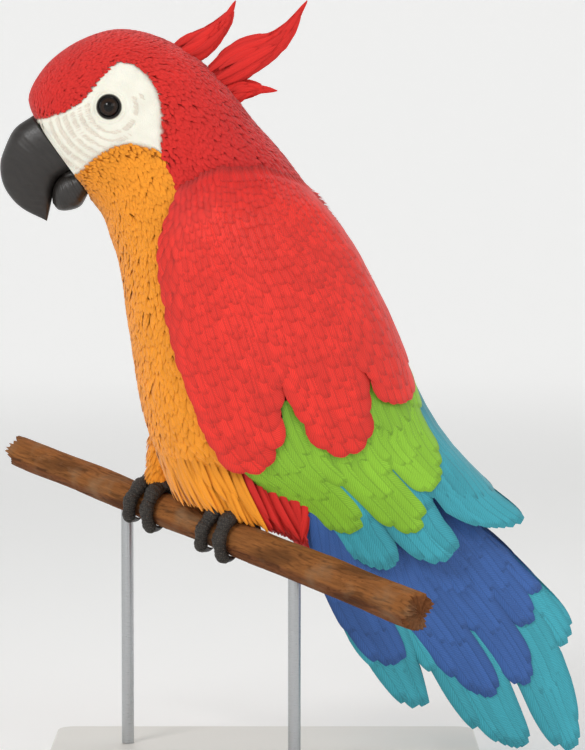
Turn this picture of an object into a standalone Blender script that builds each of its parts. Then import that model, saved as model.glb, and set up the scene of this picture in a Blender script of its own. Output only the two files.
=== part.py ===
"""A crested macaw with closed wings on a cut length of branch, carried by a plain display stand.

The bird faces -X and its left side faces -Y. Lengths are in millimetres until a mesh is made.
The body, the folded wings and the tail are one family of surfaces: a row of cross-sections, each an
ellipse that stands on the line from a back point to a belly point. Feather sheets are patches of
those surfaces, lifted off them in layers, with a scalloped edge where the feather tips are.
"""

import math

import bmesh
import bpy
import numpy as np

MM = 0.001
GAP = 0.3

# Cross-sections of the body from the bill base over head and neck to the tips of the folded wings:
# back point x and z, belly point x and z, half width.
BODY = np.array([
    (-210, 529, -165, 466, 23),
    (-213, 544, -165, 465, 28),
    (-206, 560, -164, 464, 33),
    (-192, 576, -164, 462, 36),
    (-170, 590, -162, 460, 39),
    (-142, 598, -160, 457, 41),
    (-112, 593, -156, 452, 42),
    (-81, 577, -152, 444, 43),
    (-55, 553, -148, 431, 45),
    (-34, 526, -143, 417, 48),
    (-11, 500, -139, 397, 52),
    (10, 472, -136, 373, 57),
    (31, 442, -132, 347, 62),
    (49, 413, -128, 319, 65),
    (64, 384, -123, 293, 67),
    (79, 351, -115, 267, 67),
    (94, 317, -104, 248, 65),
    (109, 288, -84, 237, 61),
    (126, 264, -54, 227, 56),
    (145, 244, -20, 205, 50),
    (165, 227, 8, 175, 44),
    (185, 212, 30, 143, 39),
    (204, 199, 54, 129, 35),
], float)
HEAD_END = 7.0
NECK_END = 9.6
TRUNK_END = 21.0
WING_START = 8.0  # the first section that a wing can lie on
# How the trunk draws in under the closed wings: section, drop of the back as a share, half width.
RUMP = (
    (15, 0.01, 66),
    (16, 0.05, 62),
    (17, 0.11, 56),
    (18, 0.18, 48),
    (19, 0.28, 38),
    (20, 0.42, 26),
    (21, 0.58, 13),
)

# The arch of the tail from its root to past the feather tips: ridge x and z, lower edge x and z,
# half width.
TAIL = np.array([
    (120, 224, 14, 170, 32),
    (140, 206, 23, 153, 31),
    (161, 187, 32, 137, 29),
    (181, 166, 43, 116, 27),
    (201, 146, 54, 99, 25),
    (221, 124, 69, 77, 22),
    (237, 99, 86, 54, 19),
    (247, 68, 112, 27, 16),
    (254, 36, 145, 5, 13),
    (261, 10, 178, -17, 11),
], float)

# Feather sheets. An edge runs from the front of the wing to the spine, as notch, tip, notch, tip ... notch,
# each x and z in the side view.
SHOULDER_LINE = [(-91, 466), (-62, 480), (-24, 481), (9, 470)]
COVERT_EDGE = [(-57, 273), (-22, 254), (-12, 312), (46, 264), (46, 325), (82, 300), (87, 333)]
LEADING_EDGE = [(-103, 427), (-98, 383), (-84, 335)]
SPINE_LINE = [(38, 431), (66, 383)]
QUILL_ROOT = [(-38, 262), (8, 282), (68, 318), (85, 346)]
QUILL_EDGE = [(-26, 240), (62, 173), (69, 201), (119, 177), (122, 214), (166, 203), (187, 212)]
QUILL_SPINE = [(100, 312), (120, 276), (155, 236)]
# The tail's edge in sections of TAIL and degrees of turn from its ridge.
TAIL_EDGE = [
    (4.6, 0), (5.45, 20), (5.7, 33), (8.2, 45), (6.7, 59), (7.7, 69), (5.55, 80), (6.05, 86), (4.9, 90),
]
LOBE_STEPS = 6
LOBE_ROUNDNESS = 2.4
SPINE_TURN = 0.03
EASE_TURN = 0.06
# Heights over the body: the underside of the coverts at the shoulder and over the quills, how thick they
# are, and how far the folded arm swells them; the quills' underside and top; the same for the tail.
COVERT_LIFT = (1.2, 4.2)
COVERT_THICK = 1.4
ARM_RISE = 8.0
ARM_PLACE = (0.25, 0.3)  # share of the way down the wing where the arm is thickest, and its spread
RIM_EASE = (0.15, 0.12)  # shares down and across over which the swelling dies away at the rim
OVER_QUILLS = (0.45, 0.25)  # share down where the coverts begin to pass over the quills, and its length
QUILL_LIFT = (1.2, 2.4)
TAIL_FIRST = 0.6
TAIL_LIFT = (0.0, 1.6)

# Bill sections from base to tip: ridge x and z, cutting edge or chin x and z, half width.
BILL_UPPER = np.array([
    (-210, 529, -178.5, 485, 22),
    (-224, 519, -184, 482, 22),
    (-232, 504, -189, 479, 20.5),
    (-236, 490, -192, 474, 17.5),
    (-234, 475, -194, 468, 14),
    (-227, 463, -195.5, 460, 10),
    (-217, 454, -197, 453, 6),
    (-201, 446, -199, 445, 1.5),
], float)
BILL_LOWER = np.array([
    (-177, 483, -166, 467, 18),
    (-183.5, 481.2, -172, 457, 18.5),
    (-188.3, 478.2, -181.5, 453.5, 17.5),
    (-191.2, 473.5, -189.5, 454, 14),
    (-193.2, 467.5, -194, 459, 7),
], float)
BILL_FULLNESS = 0.6
# The stretch of the head's front cut that each half grows from, as shares from top to bottom.
BILL_UPPER_ROOT = (0.0, 0.70)
BILL_LOWER_ROOT = (0.73, 0.98)

EYE = (-147, 536)
EYE_RADIUS = 10.5
EYE_INSET = 6.5  # from the face's surface in to the ball's centre
HEAD_ROWS = 9  # the first sections of the body, which are the head

# Crest plumes: path points x and z, half height in the side view, half thickness across.
CREST = (
    ((-104, 572, 14, 10), (-76, 586, 11, 8), (-57, 603, 6.5, 5), (-48, 620, 0.8, 0.8)),
    ((-76, 553, 18, 11), (-44, 573, 15, 9), (-13, 590, 9, 5), (9, 620, 0.8, 0.8)),
    ((-64, 537, 12, 9), (-45, 549, 8, 6), (-29, 550, 5, 3.5), (-15, 549, 0.8, 0.8)),
)

# The perch is a straight cut branch that passes under both feet.
FOOT_RIGHT = np.array((-114, 26, 213), float)
FOOT_LEFT = np.array((-54, -26, 195), float)
PERCH_SPAN = (-165, 286)
PERCH_RADIUS = (12.6, 15.0)
PERCH_SWELLS = ((0.35, 21.0), (0.25, 13.0))  # height of a swell round and along it, and its length / 2 pi
BROKEN_DEPTH = 9.0
HOLLOW_END = 0.6  # how far the middle of a broken end is sunk, as a share of its depth

TOE_RADIUS = (6.3, 4.8)  # at the root and at the tip
TOE_CLEAR = 1.1
# Toes: place along the perch at root and tip, angle over the perch at root and tip, in degrees.
TOES = ((-7, -13, 12, 138), (7, 10, 12, 150), (-7, -11, -12, -126), (7, 13, -12, -136))
CLAW_RADIUS = 3.6
CLAW_POINT = 0.12  # the claw's tip as a share of its root
CLAW_DROP = 1.5  # how much nearer the bark the claw's tip is
CLAW_TURN = 42
CLAW_GAP = 0.8
PAD_HALF = (16.0, 12.0)  # half length along the perch and half width across it
PAD_ENDS = 0.98  # how far along a full ellipse the pad's flat ends are
SHANK_RADIUS = 7.0
SHANK_HEIGHT = 9.0
# Feathered thighs: radius and gap at the ankle, two heights over it where the thigh is still upright,
# and the hip's radius, its place behind and over the foot, and how far in it is as a share.
ANKLE_RADIUS = 14.0
ANKLE_GAP = 1.0
ANKLE_UPRIGHT = (6.0, 14.0)
THIGH_RADIUS = 19.0
HIP_BACK = 12.0
HIP_HEIGHT = 62.0
HIP_IN = 0.8

BASE_SIZE = (350, 260, 15)
BASE_CENTRE = (-25, 0)
BASE_CORNER = 14.0
BASE_BEVEL = 2.0
ROD_RADIUS = 5.0
ROD_PLACES = (-32, 72)  # along the perch, outward from the right foot and from the left foot

# Facets of the solids: rings along them and sides round them.
HEAD_FACETS = (13, 20)
NECK_FACETS = (5, 20)
TRUNK_FACETS = (15, 24)
UPPER_BILL_FACETS = (10, 14)
LOWER_BILL_FACETS = (8, 12)
EYE_FACETS = (8, 14)
CREST_FACETS = (8, 10)
COVERT_ROWS = 8
QUILL_ROWS = 6
TAIL_ROWS = 6
PERCH_FACETS = (20, 12)
PAD_FACETS = (7, 12)
SHANK_SIDES = 10
TOE_FACETS = (7, 7)
CLAW_FACETS = (5, 7)
LEG_FACETS = (8, 14)
ROD_SIDES = 16
CORNER_STEPS = 4
BEVEL_STEPS = 2
SHARP_ANGLE = math.radians(40)


# ------------------------------------------------------------------ materials

def material(name, colour, roughness, metallic=0.0):
    made = bpy.data.materials.new(name)
    made.use_nodes = True
    shader = made.node_tree.nodes["Principled BSDF"]
    shader.inputs["Base Color"].default_value = (*colour, 1.0)
    shader.inputs["Roughness"].default_value = roughness
    shader.inputs["Metallic"].default_value = metallic
    made.diffuse_color = (*colour, 1.0)
    return made


# ------------------------------------------------------------------ curves and surfaces

def smooth(rows, t):
    """Point of the Catmull-Rom curve through evenly spaced rows, at t in row units."""
    rows = np.asarray(rows, float)
    t = np.clip(np.asarray(t, float), 0, len(rows) - 1)
    i = np.minimum(t.astype(int), len(rows) - 2)
    f = (t - i)[..., None]
    p = np.vstack([2 * rows[0] - rows[1], rows, 2 * rows[-1] - rows[-2]])
    a, b, c, d = p[i], p[i + 1], p[i + 2], p[i + 3]
    return b + 0.5 * f * (c - a + f * (2 * a - 5 * b + 4 * c - d + f * (3 * (b - c) + d - a)))


def along(points, count):
    """Evenly spaced points on the smooth curve through the given ones."""
    dense = smooth(points, np.linspace(0, len(points) - 1, 40 * len(points)))
    length = np.r_[0, np.cumsum(np.linalg.norm(np.diff(dense, axis=0), axis=1))]
    wanted = np.linspace(0, length[-1], count)
    return np.stack([np.interp(wanted, length, column) for column in dense.T], axis=1)


def scallops(points):
    """An edge of rounded lobes: notch, tip, notch, tip ... notch. Each lobe is the line between its
    notches, pushed towards the tip by a rounded hump."""
    points = np.asarray(points, float)
    edge = []
    for i in range(0, len(points) - 2, 2):
        left, tip, right = points[i : i + 3]
        q = np.arange(LOBE_STEPS)[:, None] / LOBE_STEPS
        hump = 1 - np.abs(2 * q - 1) ** LOBE_ROUNDNESS
        edge.append(left + q * (right - left) + hump * (tip - (left + right) / 2))
    return np.vstack([*edge, points[-1:]])


def body_surface(rows, t, turn):
    """Left half of the body: turn is 0 on the back, 90 degrees on the side and 180 on the belly."""
    back_x, back_z, belly_x, belly_z, half = np.moveaxis(smooth(rows, t), -1, 0)
    share = (1 - np.cos(turn)) / 2
    x = back_x + share * (belly_x - back_x)
    z = back_z + share * (belly_z - back_z)
    return np.stack([x, -half * np.sin(turn), z], axis=-1)


def tail_surface(rows, t, turn):
    """The tail's arch: turn is 0 on the ridge and 90 degrees on the left lower edge."""
    top_x, top_z, low_x, low_z, half = np.moveaxis(smooth(rows, t), -1, 0)
    share = 1 - np.cos(turn)
    x = top_x + share * (low_x - top_x)
    z = top_z + share * (low_z - top_z)
    return np.stack([x, -half * np.sin(turn), z], axis=-1)


def locate(rows, point, first, half_turn):
    """Section and turn at which a surface is seen from the side at point x, z. half_turn is how far the
    surface turns from the back to its lowest line, and past the back the turn goes on below zero."""
    t = np.linspace(first, len(rows) - 1, 60 * len(rows))
    top_x, top_z, low_x, low_z, _ = smooth(rows, t).T
    dx = low_x - top_x
    dz = low_z - top_z
    square = dx * dx + dz * dz
    share = ((point[0] - top_x) * dx + (point[1] - top_z) * dz) / square
    off = np.abs(dx * (point[1] - top_z) - dz * (point[0] - top_x)) / np.sqrt(square)
    # Lines that the point lies well beyond the ends of don't count.
    off += 500 * np.clip(np.abs(share - 0.5) - 0.53, 0, None)
    best = np.argmin(off)
    sweep = math.acos(1 - min(abs(share[best]), 1) * (1 - math.cos(half_turn)))
    return t[best], math.copysign(sweep, share[best])


def on_body(point):
    return locate(BODY, point, WING_START, math.pi)


def short_of_spine(turn):
    """The turn eased so that a wing stops just short of the spine."""
    return SPINE_TURN + EASE_TURN * np.log1p(np.exp((turn - SPINE_TURN) / EASE_TURN))


def patch(top, bottom, front, back):
    """Coons patch between four edges in (section, turn): rows run from top to bottom."""
    s = np.linspace(0, 1, len(front))[:, None, None]
    v = np.linspace(0, 1, len(top))[None, :, None]
    ruled = (1 - s) * top[None] + s * bottom[None] + (1 - v) * front[:, None] + v * back[:, None]
    corners = (1 - s) * ((1 - v) * top[0] + v * top[-1]) + s * ((1 - v) * bottom[0] + v * bottom[-1])
    return ruled - corners


def lifted(surface, rows, grid, lift):
    """Points of a surface at a (section, turn) grid, moved out along its normal by lift."""
    t, turn = grid[..., 0], grid[..., 1]
    step = 0.02
    point = surface(rows, t, turn)
    along_t = surface(rows, t + step, turn) - surface(rows, t - step, turn)
    around = surface(rows, t, turn + step) - surface(rows, t, turn - step)
    normal = np.cross(around, along_t)
    normal /= np.linalg.norm(normal, axis=-1, keepdims=True)
    return point + normal * np.asarray(lift)[..., None]


# ------------------------------------------------------------------ meshes

def add_mesh(name, points, faces, look, hidden=False):
    """An object from points in millimetres and face loops, with its faces turned outwards."""
    mesh = bpy.data.meshes.new(name)
    mesh.from_pydata([tuple(p) for p in np.asarray(points) * MM], [], faces)
    work = bmesh.new()
    work.from_mesh(mesh)
    bmesh.ops.recalc_face_normals(work, faces=work.faces)
    work.to_mesh(mesh)
    work.free()
    mesh.shade_smooth()
    mesh.set_sharp_from_angle(angle=SHARP_ANGLE)
    mesh.materials.append(look)
    piece = bpy.data.objects.new(name, mesh)
    bpy.context.scene.collection.objects.link(piece)
    if hidden:
        piece.hide_render = True
        piece.display_type = "WIRE"
    return piece


def ring_faces(rings, sides):
    faces = []
    for i in range(rings - 1):
        for j in range(sides):
            k = (j + 1) % sides
            faces.append((i * sides + j, i * sides + k, (i + 1) * sides + k, (i + 1) * sides + j))
    return faces


def loft(name, rings, look, hidden=False):
    """A closed solid through rings of points, with flat ends."""
    count, sides, _ = rings.shape
    faces = ring_faces(count, sides)
    faces.append(tuple(range(sides)))
    faces.append(tuple(range((count - 1) * sides, count * sides)))
    return add_mesh(name, rings.reshape(-1, 3), faces, look, hidden)


def sheet(name, outer, inner, look):
    """A closed thin solid between two grids of the same size."""
    rows, columns, _ = outer.shape
    count = rows * columns
    index = np.arange(count).reshape(rows, columns)
    a, b, c, d = index[:-1, :-1], index[:-1, 1:], index[1:, 1:], index[1:, :-1]
    quads = np.stack([a, b, c, d], axis=-1).reshape(-1, 4)
    rim = np.concatenate([index[0, :-1], index[:-1, -1], index[-1, :0:-1], index[:0:-1, 0]])
    after = np.roll(rim, -1)
    walls = np.stack([rim, rim + count, after + count, after], axis=-1)
    faces = np.vstack([quads, quads[:, ::-1] + count, walls]).tolist()
    return add_mesh(name, np.vstack([outer.reshape(-1, 3), inner.reshape(-1, 3)]), faces, look)


def mirrored(piece, name):
    """A copy of a left piece on the right side of the bird."""
    mesh = piece.data.copy()
    mesh.name = name
    work = bmesh.new()
    work.from_mesh(mesh)
    bmesh.ops.scale(work, vec=(1, -1, 1), verts=work.verts)
    bmesh.ops.reverse_faces(work, faces=work.faces)
    work.to_mesh(mesh)
    work.free()
    copy = bpy.data.objects.new(name, mesh)
    bpy.context.scene.collection.objects.link(copy)
    return copy


def swollen(piece, gap):
    """A hidden copy of a piece, grown by a gap, to cut its neighbour clear of it."""
    mesh = piece.data.copy()
    work = bmesh.new()
    work.from_mesh(mesh)
    work.normal_update()
    for vertex in work.verts:
        vertex.co += vertex.normal * vertex.calc_shell_factor() * gap * MM
    work.to_mesh(mesh)
    work.free()
    cutter = bpy.data.objects.new(piece.name + "_cutter", mesh)
    bpy.context.scene.collection.objects.link(cutter)
    cutter.hide_render = True
    cutter.display_type = "WIRE"
    return cutter


def combine(piece, other, operation):
    change = piece.modifiers.new(operation.lower(), "BOOLEAN")
    change.operation = operation
    change.solver = "EXACT"
    change.object = other


def tube(name, path, radii, across, sides, look, hidden=False, height=None):
    """A tapering tube along a path. The section's first axis is across, and height is its second
    radius where the section isn't round."""
    path = np.asarray(path, float)
    height = radii if height is None else height
    ahead = np.gradient(path, axis=0, edge_order=min(2, len(path) - 1))
    ahead /= np.linalg.norm(ahead, axis=1, keepdims=True)
    side = np.asarray(across, float) - (ahead @ np.asarray(across, float))[:, None] * ahead
    side /= np.linalg.norm(side, axis=1, keepdims=True)
    rise = np.cross(ahead, side)
    turn = np.linspace(0, 2 * math.pi, sides, endpoint=False)[None, :, None]
    reach = np.asarray(radii, float)[:, None, None] * np.cos(turn) * side[:, None]
    lift = np.asarray(height, float)[:, None, None] * np.sin(turn) * rise[:, None]
    return loft(name, path[:, None] + reach + lift, look, hidden)


# ------------------------------------------------------------------ body

def trunk_rows():
    """The body's sections with the rump drawn in under the wings."""
    rows = BODY.copy()
    for section, drop, half in RUMP:
        rows[section, :2] += drop * (rows[section, 2:4] - rows[section, :2])
        rows[section, 4] = half
    return rows


def body_rings(rows, sections, sides, fullness=1.0):
    turn = np.linspace(0, 2 * math.pi, sides, endpoint=False)
    rings = body_surface(rows, sections[:, None], turn[None, :])
    half = smooth(rows, sections)[:, 4:5]
    rings[..., 1] = -half * np.sign(np.sin(turn)) * np.abs(np.sin(turn)) ** fullness
    return rings


def eased_off(ring, towards):
    """The ring moved a gap towards a point on the far side of the cut, square to its own plane."""
    normal = np.cross(ring[0] - ring.mean(axis=0), (0, 1, 0))
    normal /= np.linalg.norm(normal)
    return ring + GAP * normal * np.sign(normal @ (towards - ring.mean(axis=0)))


def body_piece(name, first, last, facets, look):
    rings = body_rings(trunk_rows(), np.linspace(first, last, facets[0]), facets[1])
    if first > 0:
        rings[0] = eased_off(rings[0], rings[1].mean(axis=0))
    return loft(name, rings, look)


def add_body(looks):
    head = body_piece("head", 0, HEAD_END, HEAD_FACETS, looks["red"])
    neck = body_piece("neck", HEAD_END, NECK_END, NECK_FACETS, looks["red"])
    trunk = body_piece("trunk", NECK_END, TRUNK_END, TRUNK_FACETS, looks["orange"])
    return head, neck, trunk


def add_bill(looks):
    """Both halves of the bill start on the flat front of the head, each over its share of that cut."""
    top, low = BODY[0, :2], BODY[0, 2:4]
    for name, shape, root, facets in (
        ("bill_upper", BILL_UPPER, BILL_UPPER_ROOT, UPPER_BILL_FACETS),
        ("bill_lower", BILL_LOWER, BILL_LOWER_ROOT, LOWER_BILL_FACETS),
    ):
        rows = shape.copy()
        rows[0, :2] = top + root[0] * (low - top)
        rows[0, 2:4] = top + root[1] * (low - top)
        rings = body_rings(rows, np.linspace(0, len(rows) - 1, facets[0]), facets[1], BILL_FULLNESS)
        rings[0] = eased_off(rings[0], rings[1].mean(axis=0))
        loft(name, rings, looks["bill"])


def ball(name, centre, radius, look, hidden=False):
    rings, sides = EYE_FACETS
    bpy.ops.mesh.primitive_uv_sphere_add(segments=sides, ring_count=rings, radius=radius * MM)
    piece = bpy.context.object
    piece.name = name
    piece.data.name = name
    piece.location = [c * MM for c in centre]
    piece.data.materials.append(look)
    piece.data.shade_smooth()
    piece.hide_render = hidden
    if hidden:
        piece.display_type = "WIRE"
    return piece


def add_eyes(head, looks):
    t, turn = locate(BODY[:HEAD_ROWS], EYE, 0.0, math.pi)
    side = body_surface(BODY, np.array(t), np.array(turn))
    for name, sign in (("eye_left", 1), ("eye_right", -1)):
        centre = (side[0], sign * (side[1] + EYE_INSET), side[2])
        ball(name, centre, EYE_RADIUS, looks["eye"])
        socket = ball(name + "_socket", centre, EYE_RADIUS + GAP, looks["eye"], hidden=True)
        combine(head, socket, "DIFFERENCE")


def add_crest(head, neck, looks):
    for number, plume in enumerate(CREST, 1):
        x, z, height, thick = along(plume, CREST_FACETS[0]).T
        path = np.stack([x, np.zeros_like(x), z], axis=1)
        piece = tube(f"crest_{number}", path, thick, (0, 1, 0), CREST_FACETS[1], looks["red"],
                     height=height)
        combine(piece, swollen(head, GAP), "DIFFERENCE")
        combine(piece, swollen(neck, GAP), "DIFFERENCE")
    for number in (1, 2):
        first = bpy.data.objects[f"crest_{number}"]
        combine(first, swollen(bpy.data.objects[f"crest_{number + 1}"], GAP), "DIFFERENCE")


# ------------------------------------------------------------------ wings and tail

def wing_sheet(name, root, edge, front, spine, rows, lifts, look):
    """One layer of the left wing, from its hidden root to its scalloped edge."""
    bottom = np.array([on_body(p) for p in scallops(edge)])
    top = np.array([on_body(p) for p in along(root, len(bottom))])
    lead = np.array([on_body(p) for p in along([root[0], *front, edge[0]], rows)])
    trail = np.array([on_body(p) for p in along([root[-1], *spine, edge[-1]], rows)])
    grid = patch(top, bottom, lead, trail)
    grid[..., 1] = short_of_spine(grid[..., 1])
    down = np.linspace(0, 1, rows)
    across = np.linspace(0, 1, len(top))
    inner, outer = lifts(*np.meshgrid(down, across, indexing="ij"))
    top_skin = lifted(body_surface, BODY, grid, outer)
    underside = lifted(body_surface, BODY, grid, inner)
    return sheet(name, top_skin, underside, look)


def even(lift):
    return lambda s, v: (lift[0] + 0 * s, lift[1] + 0 * s)


def covert_lifts(s, v):
    """The red coverts lie on the arm: thick at the shoulder, thin at every rim, and clear of the
    layers beneath them towards their tips."""
    down, across = RIM_EASE
    rim = np.clip(s / down, 0, 1) * np.clip(v / across, 0, 1) * np.clip((1 - v) / across, 0, 1)
    arm = ARM_RISE * np.exp(-(((s - ARM_PLACE[0]) / ARM_PLACE[1]) ** 2)) * np.sqrt(rim)
    under = np.clip((s - OVER_QUILLS[0]) / OVER_QUILLS[1], 0, 1)
    inner = COVERT_LIFT[0] + (COVERT_LIFT[1] - COVERT_LIFT[0]) * under
    return inner, inner + COVERT_THICK + arm


def add_wings(looks):
    coverts = wing_sheet("wing_left", SHOULDER_LINE, COVERT_EDGE, LEADING_EDGE, SPINE_LINE, COVERT_ROWS,
                         covert_lifts, looks["red"])
    quills = wing_sheet("flight_feathers_left", QUILL_ROOT, QUILL_EDGE, [], QUILL_SPINE, QUILL_ROWS,
                        even(QUILL_LIFT), looks["teal"])
    mirrored(coverts, "wing_right")
    mirrored(quills, "flight_feathers_right")


def add_tail(looks):
    """The tail feathers over both sides of the ridge, as one arched fan with a scalloped end."""
    half = scallops(TAIL_EDGE) * (1, math.radians(1))
    bottom = np.vstack([half[:0:-1] * (1, -1), half])
    turns = np.linspace(-math.pi / 2, math.pi / 2, len(bottom))
    top = np.stack([np.full(len(bottom), TAIL_FIRST), turns], axis=1)
    share = np.linspace(0, 1, TAIL_ROWS)[:, None]
    right = top[0] + share * (bottom[0] - top[0])
    left = top[-1] + share * (bottom[-1] - top[-1])
    grid = patch(top, bottom, right, left)
    low, high = TAIL_LIFT
    underside = lifted(tail_surface, TAIL, grid, np.full(grid.shape[:2], low))
    top_skin = lifted(tail_surface, TAIL, grid, np.full(grid.shape[:2], high))
    sheet("tail", top_skin, underside, looks["teal"])


# ------------------------------------------------------------------ perch, legs and feet

def perch_frame():
    """Unit vectors along the perch, forward off it and up from it."""
    axis = FOOT_LEFT - FOOT_RIGHT
    axis /= np.linalg.norm(axis)
    forward = -np.cross((0, 0, 1), axis)
    forward /= np.linalg.norm(forward)
    return axis, forward, np.cross(forward, axis)


def perch_radius(place):
    return np.interp(place, PERCH_SPAN, PERCH_RADIUS)


def add_perch(look):
    """A branch with a slightly uneven skin and splintered ends."""
    axis, forward, up = perch_frame()
    rings, sides = PERCH_FACETS
    places = np.linspace(*PERCH_SPAN, rings)
    turn = np.linspace(0, 2 * math.pi, sides, endpoint=False)
    (twist, twist_length), (swell, swell_length) = PERCH_SWELLS
    wave = twist * np.sin(3 * turn[None] + places[:, None] / twist_length)
    wave += swell * np.sin(places[:, None] / swell_length)
    radius = perch_radius(places)[:, None] + wave
    # Neighbouring splinters differ: steps of 5 in a round of 7 give an uneven row from 0 to 1.
    splinter = (np.arange(sides) * 5 % 7) / 6
    slide = np.zeros((rings, sides))
    slide[0] = BROKEN_DEPTH * splinter
    slide[-1] = -BROKEN_DEPTH * splinter[::-1]
    reach = np.cos(turn)[None, :, None] * up + np.sin(turn)[None, :, None] * forward
    skin = FOOT_RIGHT + (places[:, None] + slide)[..., None] * axis + radius[..., None] * reach
    sunk = HOLLOW_END * BROKEN_DEPTH
    centres = [FOOT_RIGHT + (PERCH_SPAN[0] + sunk) * axis, FOOT_RIGHT + (PERCH_SPAN[1] - sunk) * axis]
    faces = ring_faces(rings, sides)
    last = (rings - 1) * sides
    count = rings * sides
    for j in range(sides):
        k = (j + 1) % sides
        faces.append((j, k, count))
        faces.append((last + j, last + k, count + 1))
    return add_mesh("perch", np.vstack([skin.reshape(-1, 3), centres]), faces, look)


def over_perch(foot, place, angle, height):
    """Points at an angle over the perch, 0 on top and 90 degrees in front, height above its bark."""
    axis, forward, up = perch_frame()
    at = (foot - FOOT_RIGHT) @ axis
    radius = perch_radius(at) + height
    reach = np.cos(angle)[:, None] * up + np.sin(angle)[:, None] * forward
    return foot + np.asarray(place)[:, None] * axis + np.asarray(radius)[:, None] * reach


def add_foot(side, foot, looks):
    """Two toes round the front of the perch and two round its back, a pad on top, and a shank."""
    axis, forward, up = perch_frame()
    at = perch_radius((foot - FOOT_RIGHT) @ axis)
    pad = foot + (at + TOE_CLEAR + TOE_RADIUS[0]) * up
    ends = np.linspace(-1, 1, PAD_FACETS[0])
    bulge = np.sqrt(1 - (PAD_ENDS * ends) ** 2)
    piece = tube(f"foot_{side}", pad + PAD_HALF[0] * ends[:, None] * axis, PAD_HALF[1] * bulge, forward,
                 PAD_FACETS[1], looks["foot"], height=PAD_ENDS * TOE_RADIUS[0] * bulge)
    shank_path = pad + np.array([[0.0], [SHANK_HEIGHT]]) * up
    shank = tube(f"shank_{side}", shank_path, (SHANK_RADIUS, SHANK_RADIUS), axis, SHANK_SIDES,
                 looks["foot"], hidden=True)
    combine(piece, shank, "UNION")
    for number, (root, tip, start, end) in enumerate(TOES, 1):
        share = np.linspace(0, 1, TOE_FACETS[0])
        radius = TOE_RADIUS[0] + share * (TOE_RADIUS[1] - TOE_RADIUS[0])
        angle = np.radians(start + share * (end - start))
        path = over_perch(foot, root + share * (tip - root), angle, TOE_CLEAR + radius)
        toe = tube(f"toe_{side}_{number}", path, radius, axis, TOE_FACETS[1], looks["foot"], hidden=True)
        combine(piece, toe, "UNION")
        sign = math.copysign(1, end)
        share = np.linspace(0, 1, CLAW_FACETS[0])
        slim = CLAW_RADIUS * (1 - (1 - CLAW_POINT) * share)
        first = math.radians(end) + sign * CLAW_GAP / (at + TOE_CLEAR + TOE_RADIUS[1])
        angle = first + sign * math.radians(CLAW_TURN) * share
        path = over_perch(foot, tip + 0 * share, angle, TOE_CLEAR + TOE_RADIUS[1] - CLAW_DROP * share)
        tube(f"claw_{side}_{number}", path, slim, axis, CLAW_FACETS[1], looks["claw"])


def add_leg(side, foot, trunk, looks):
    """The feathered thigh, from just over the foot to its meeting with the belly."""
    axis, _, up = perch_frame()
    at = perch_radius((foot - FOOT_RIGHT) @ axis)
    low = foot + (at + TOE_CLEAR + TOE_RADIUS[0] + SHANK_HEIGHT + ANKLE_GAP) * up
    hip = np.array((foot[0] + HIP_BACK, HIP_IN * foot[1], foot[2] + HIP_HEIGHT))
    path = along([low, low + ANKLE_UPRIGHT[0] * up, low + ANKLE_UPRIGHT[1] * up, hip], LEG_FACETS[0])
    radius = np.linspace(ANKLE_RADIUS, THIGH_RADIUS, LEG_FACETS[0])
    piece = tube(f"leg_{side}", path, radius, (0, 1, 0), LEG_FACETS[1], looks["orange"])
    combine(piece, swollen(trunk, GAP), "DIFFERENCE")


# ------------------------------------------------------------------ stand

def add_stand(perch, looks):
    width, depth, height = BASE_SIZE
    bpy.ops.mesh.primitive_cube_add(size=1)
    base = bpy.context.object
    base.name = "stand_base"
    base.data.name = "stand_base"
    for vertex in base.data.vertices:
        vertex.co.x = (BASE_CENTRE[0] + width * vertex.co.x) * MM
        vertex.co.y = (BASE_CENTRE[1] + depth * vertex.co.y) * MM
        vertex.co.z = height * (vertex.co.z + 0.5) * MM
    work = bmesh.new()
    work.from_mesh(base.data)
    upright = [e for e in work.edges if abs(e.verts[0].co.z - e.verts[1].co.z) > height * MM / 2]
    bmesh.ops.bevel(work, geom=upright, offset=BASE_CORNER * MM, segments=CORNER_STEPS, affect="EDGES",
                    profile=0.5)
    top = [e for e in work.edges if min(v.co.z for v in e.verts) > height * MM / 2]
    bmesh.ops.bevel(work, geom=top, offset=BASE_BEVEL * MM, segments=BEVEL_STEPS, affect="EDGES",
                    profile=0.5)
    work.to_mesh(base.data)
    work.free()
    base.data.materials.append(looks["board"])
    axis, _, _ = perch_frame()
    span = np.linalg.norm(FOOT_LEFT - FOOT_RIGHT)
    for number, place in enumerate((ROD_PLACES[0], span + ROD_PLACES[1]), 1):
        top_point = FOOT_RIGHT + place * axis
        foot_point = np.array((top_point[0], top_point[1], height + GAP))
        rod = tube(f"stand_rod_{number}", [foot_point, top_point], (ROD_RADIUS, ROD_RADIUS), (1, 0, 0),
                   ROD_SIDES, looks["rod"])
        combine(rod, swollen(perch, GAP), "DIFFERENCE")


def centre_on_floor():
    """Moves everything so that the origin is the middle of the underside of the whole."""
    bpy.context.view_layer.update()
    graph = bpy.context.evaluated_depsgraph_get()
    corners = []
    for piece in bpy.context.scene.objects:
        if piece.type == "MESH" and not piece.hide_render:
            shape = piece.evaluated_get(graph).to_mesh()
            corners.extend(piece.matrix_world @ v.co for v in shape.vertices)
    corners = np.array(corners)
    low, high = corners.min(axis=0), corners.max(axis=0)
    root = bpy.data.objects.new("parrot", None)
    bpy.context.scene.collection.objects.link(root)
    root.location = (-(low[0] + high[0]) / 2, -(low[1] + high[1]) / 2, -low[2])
    for piece in list(bpy.context.scene.objects):
        if piece is not root:
            piece.parent = root


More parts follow.
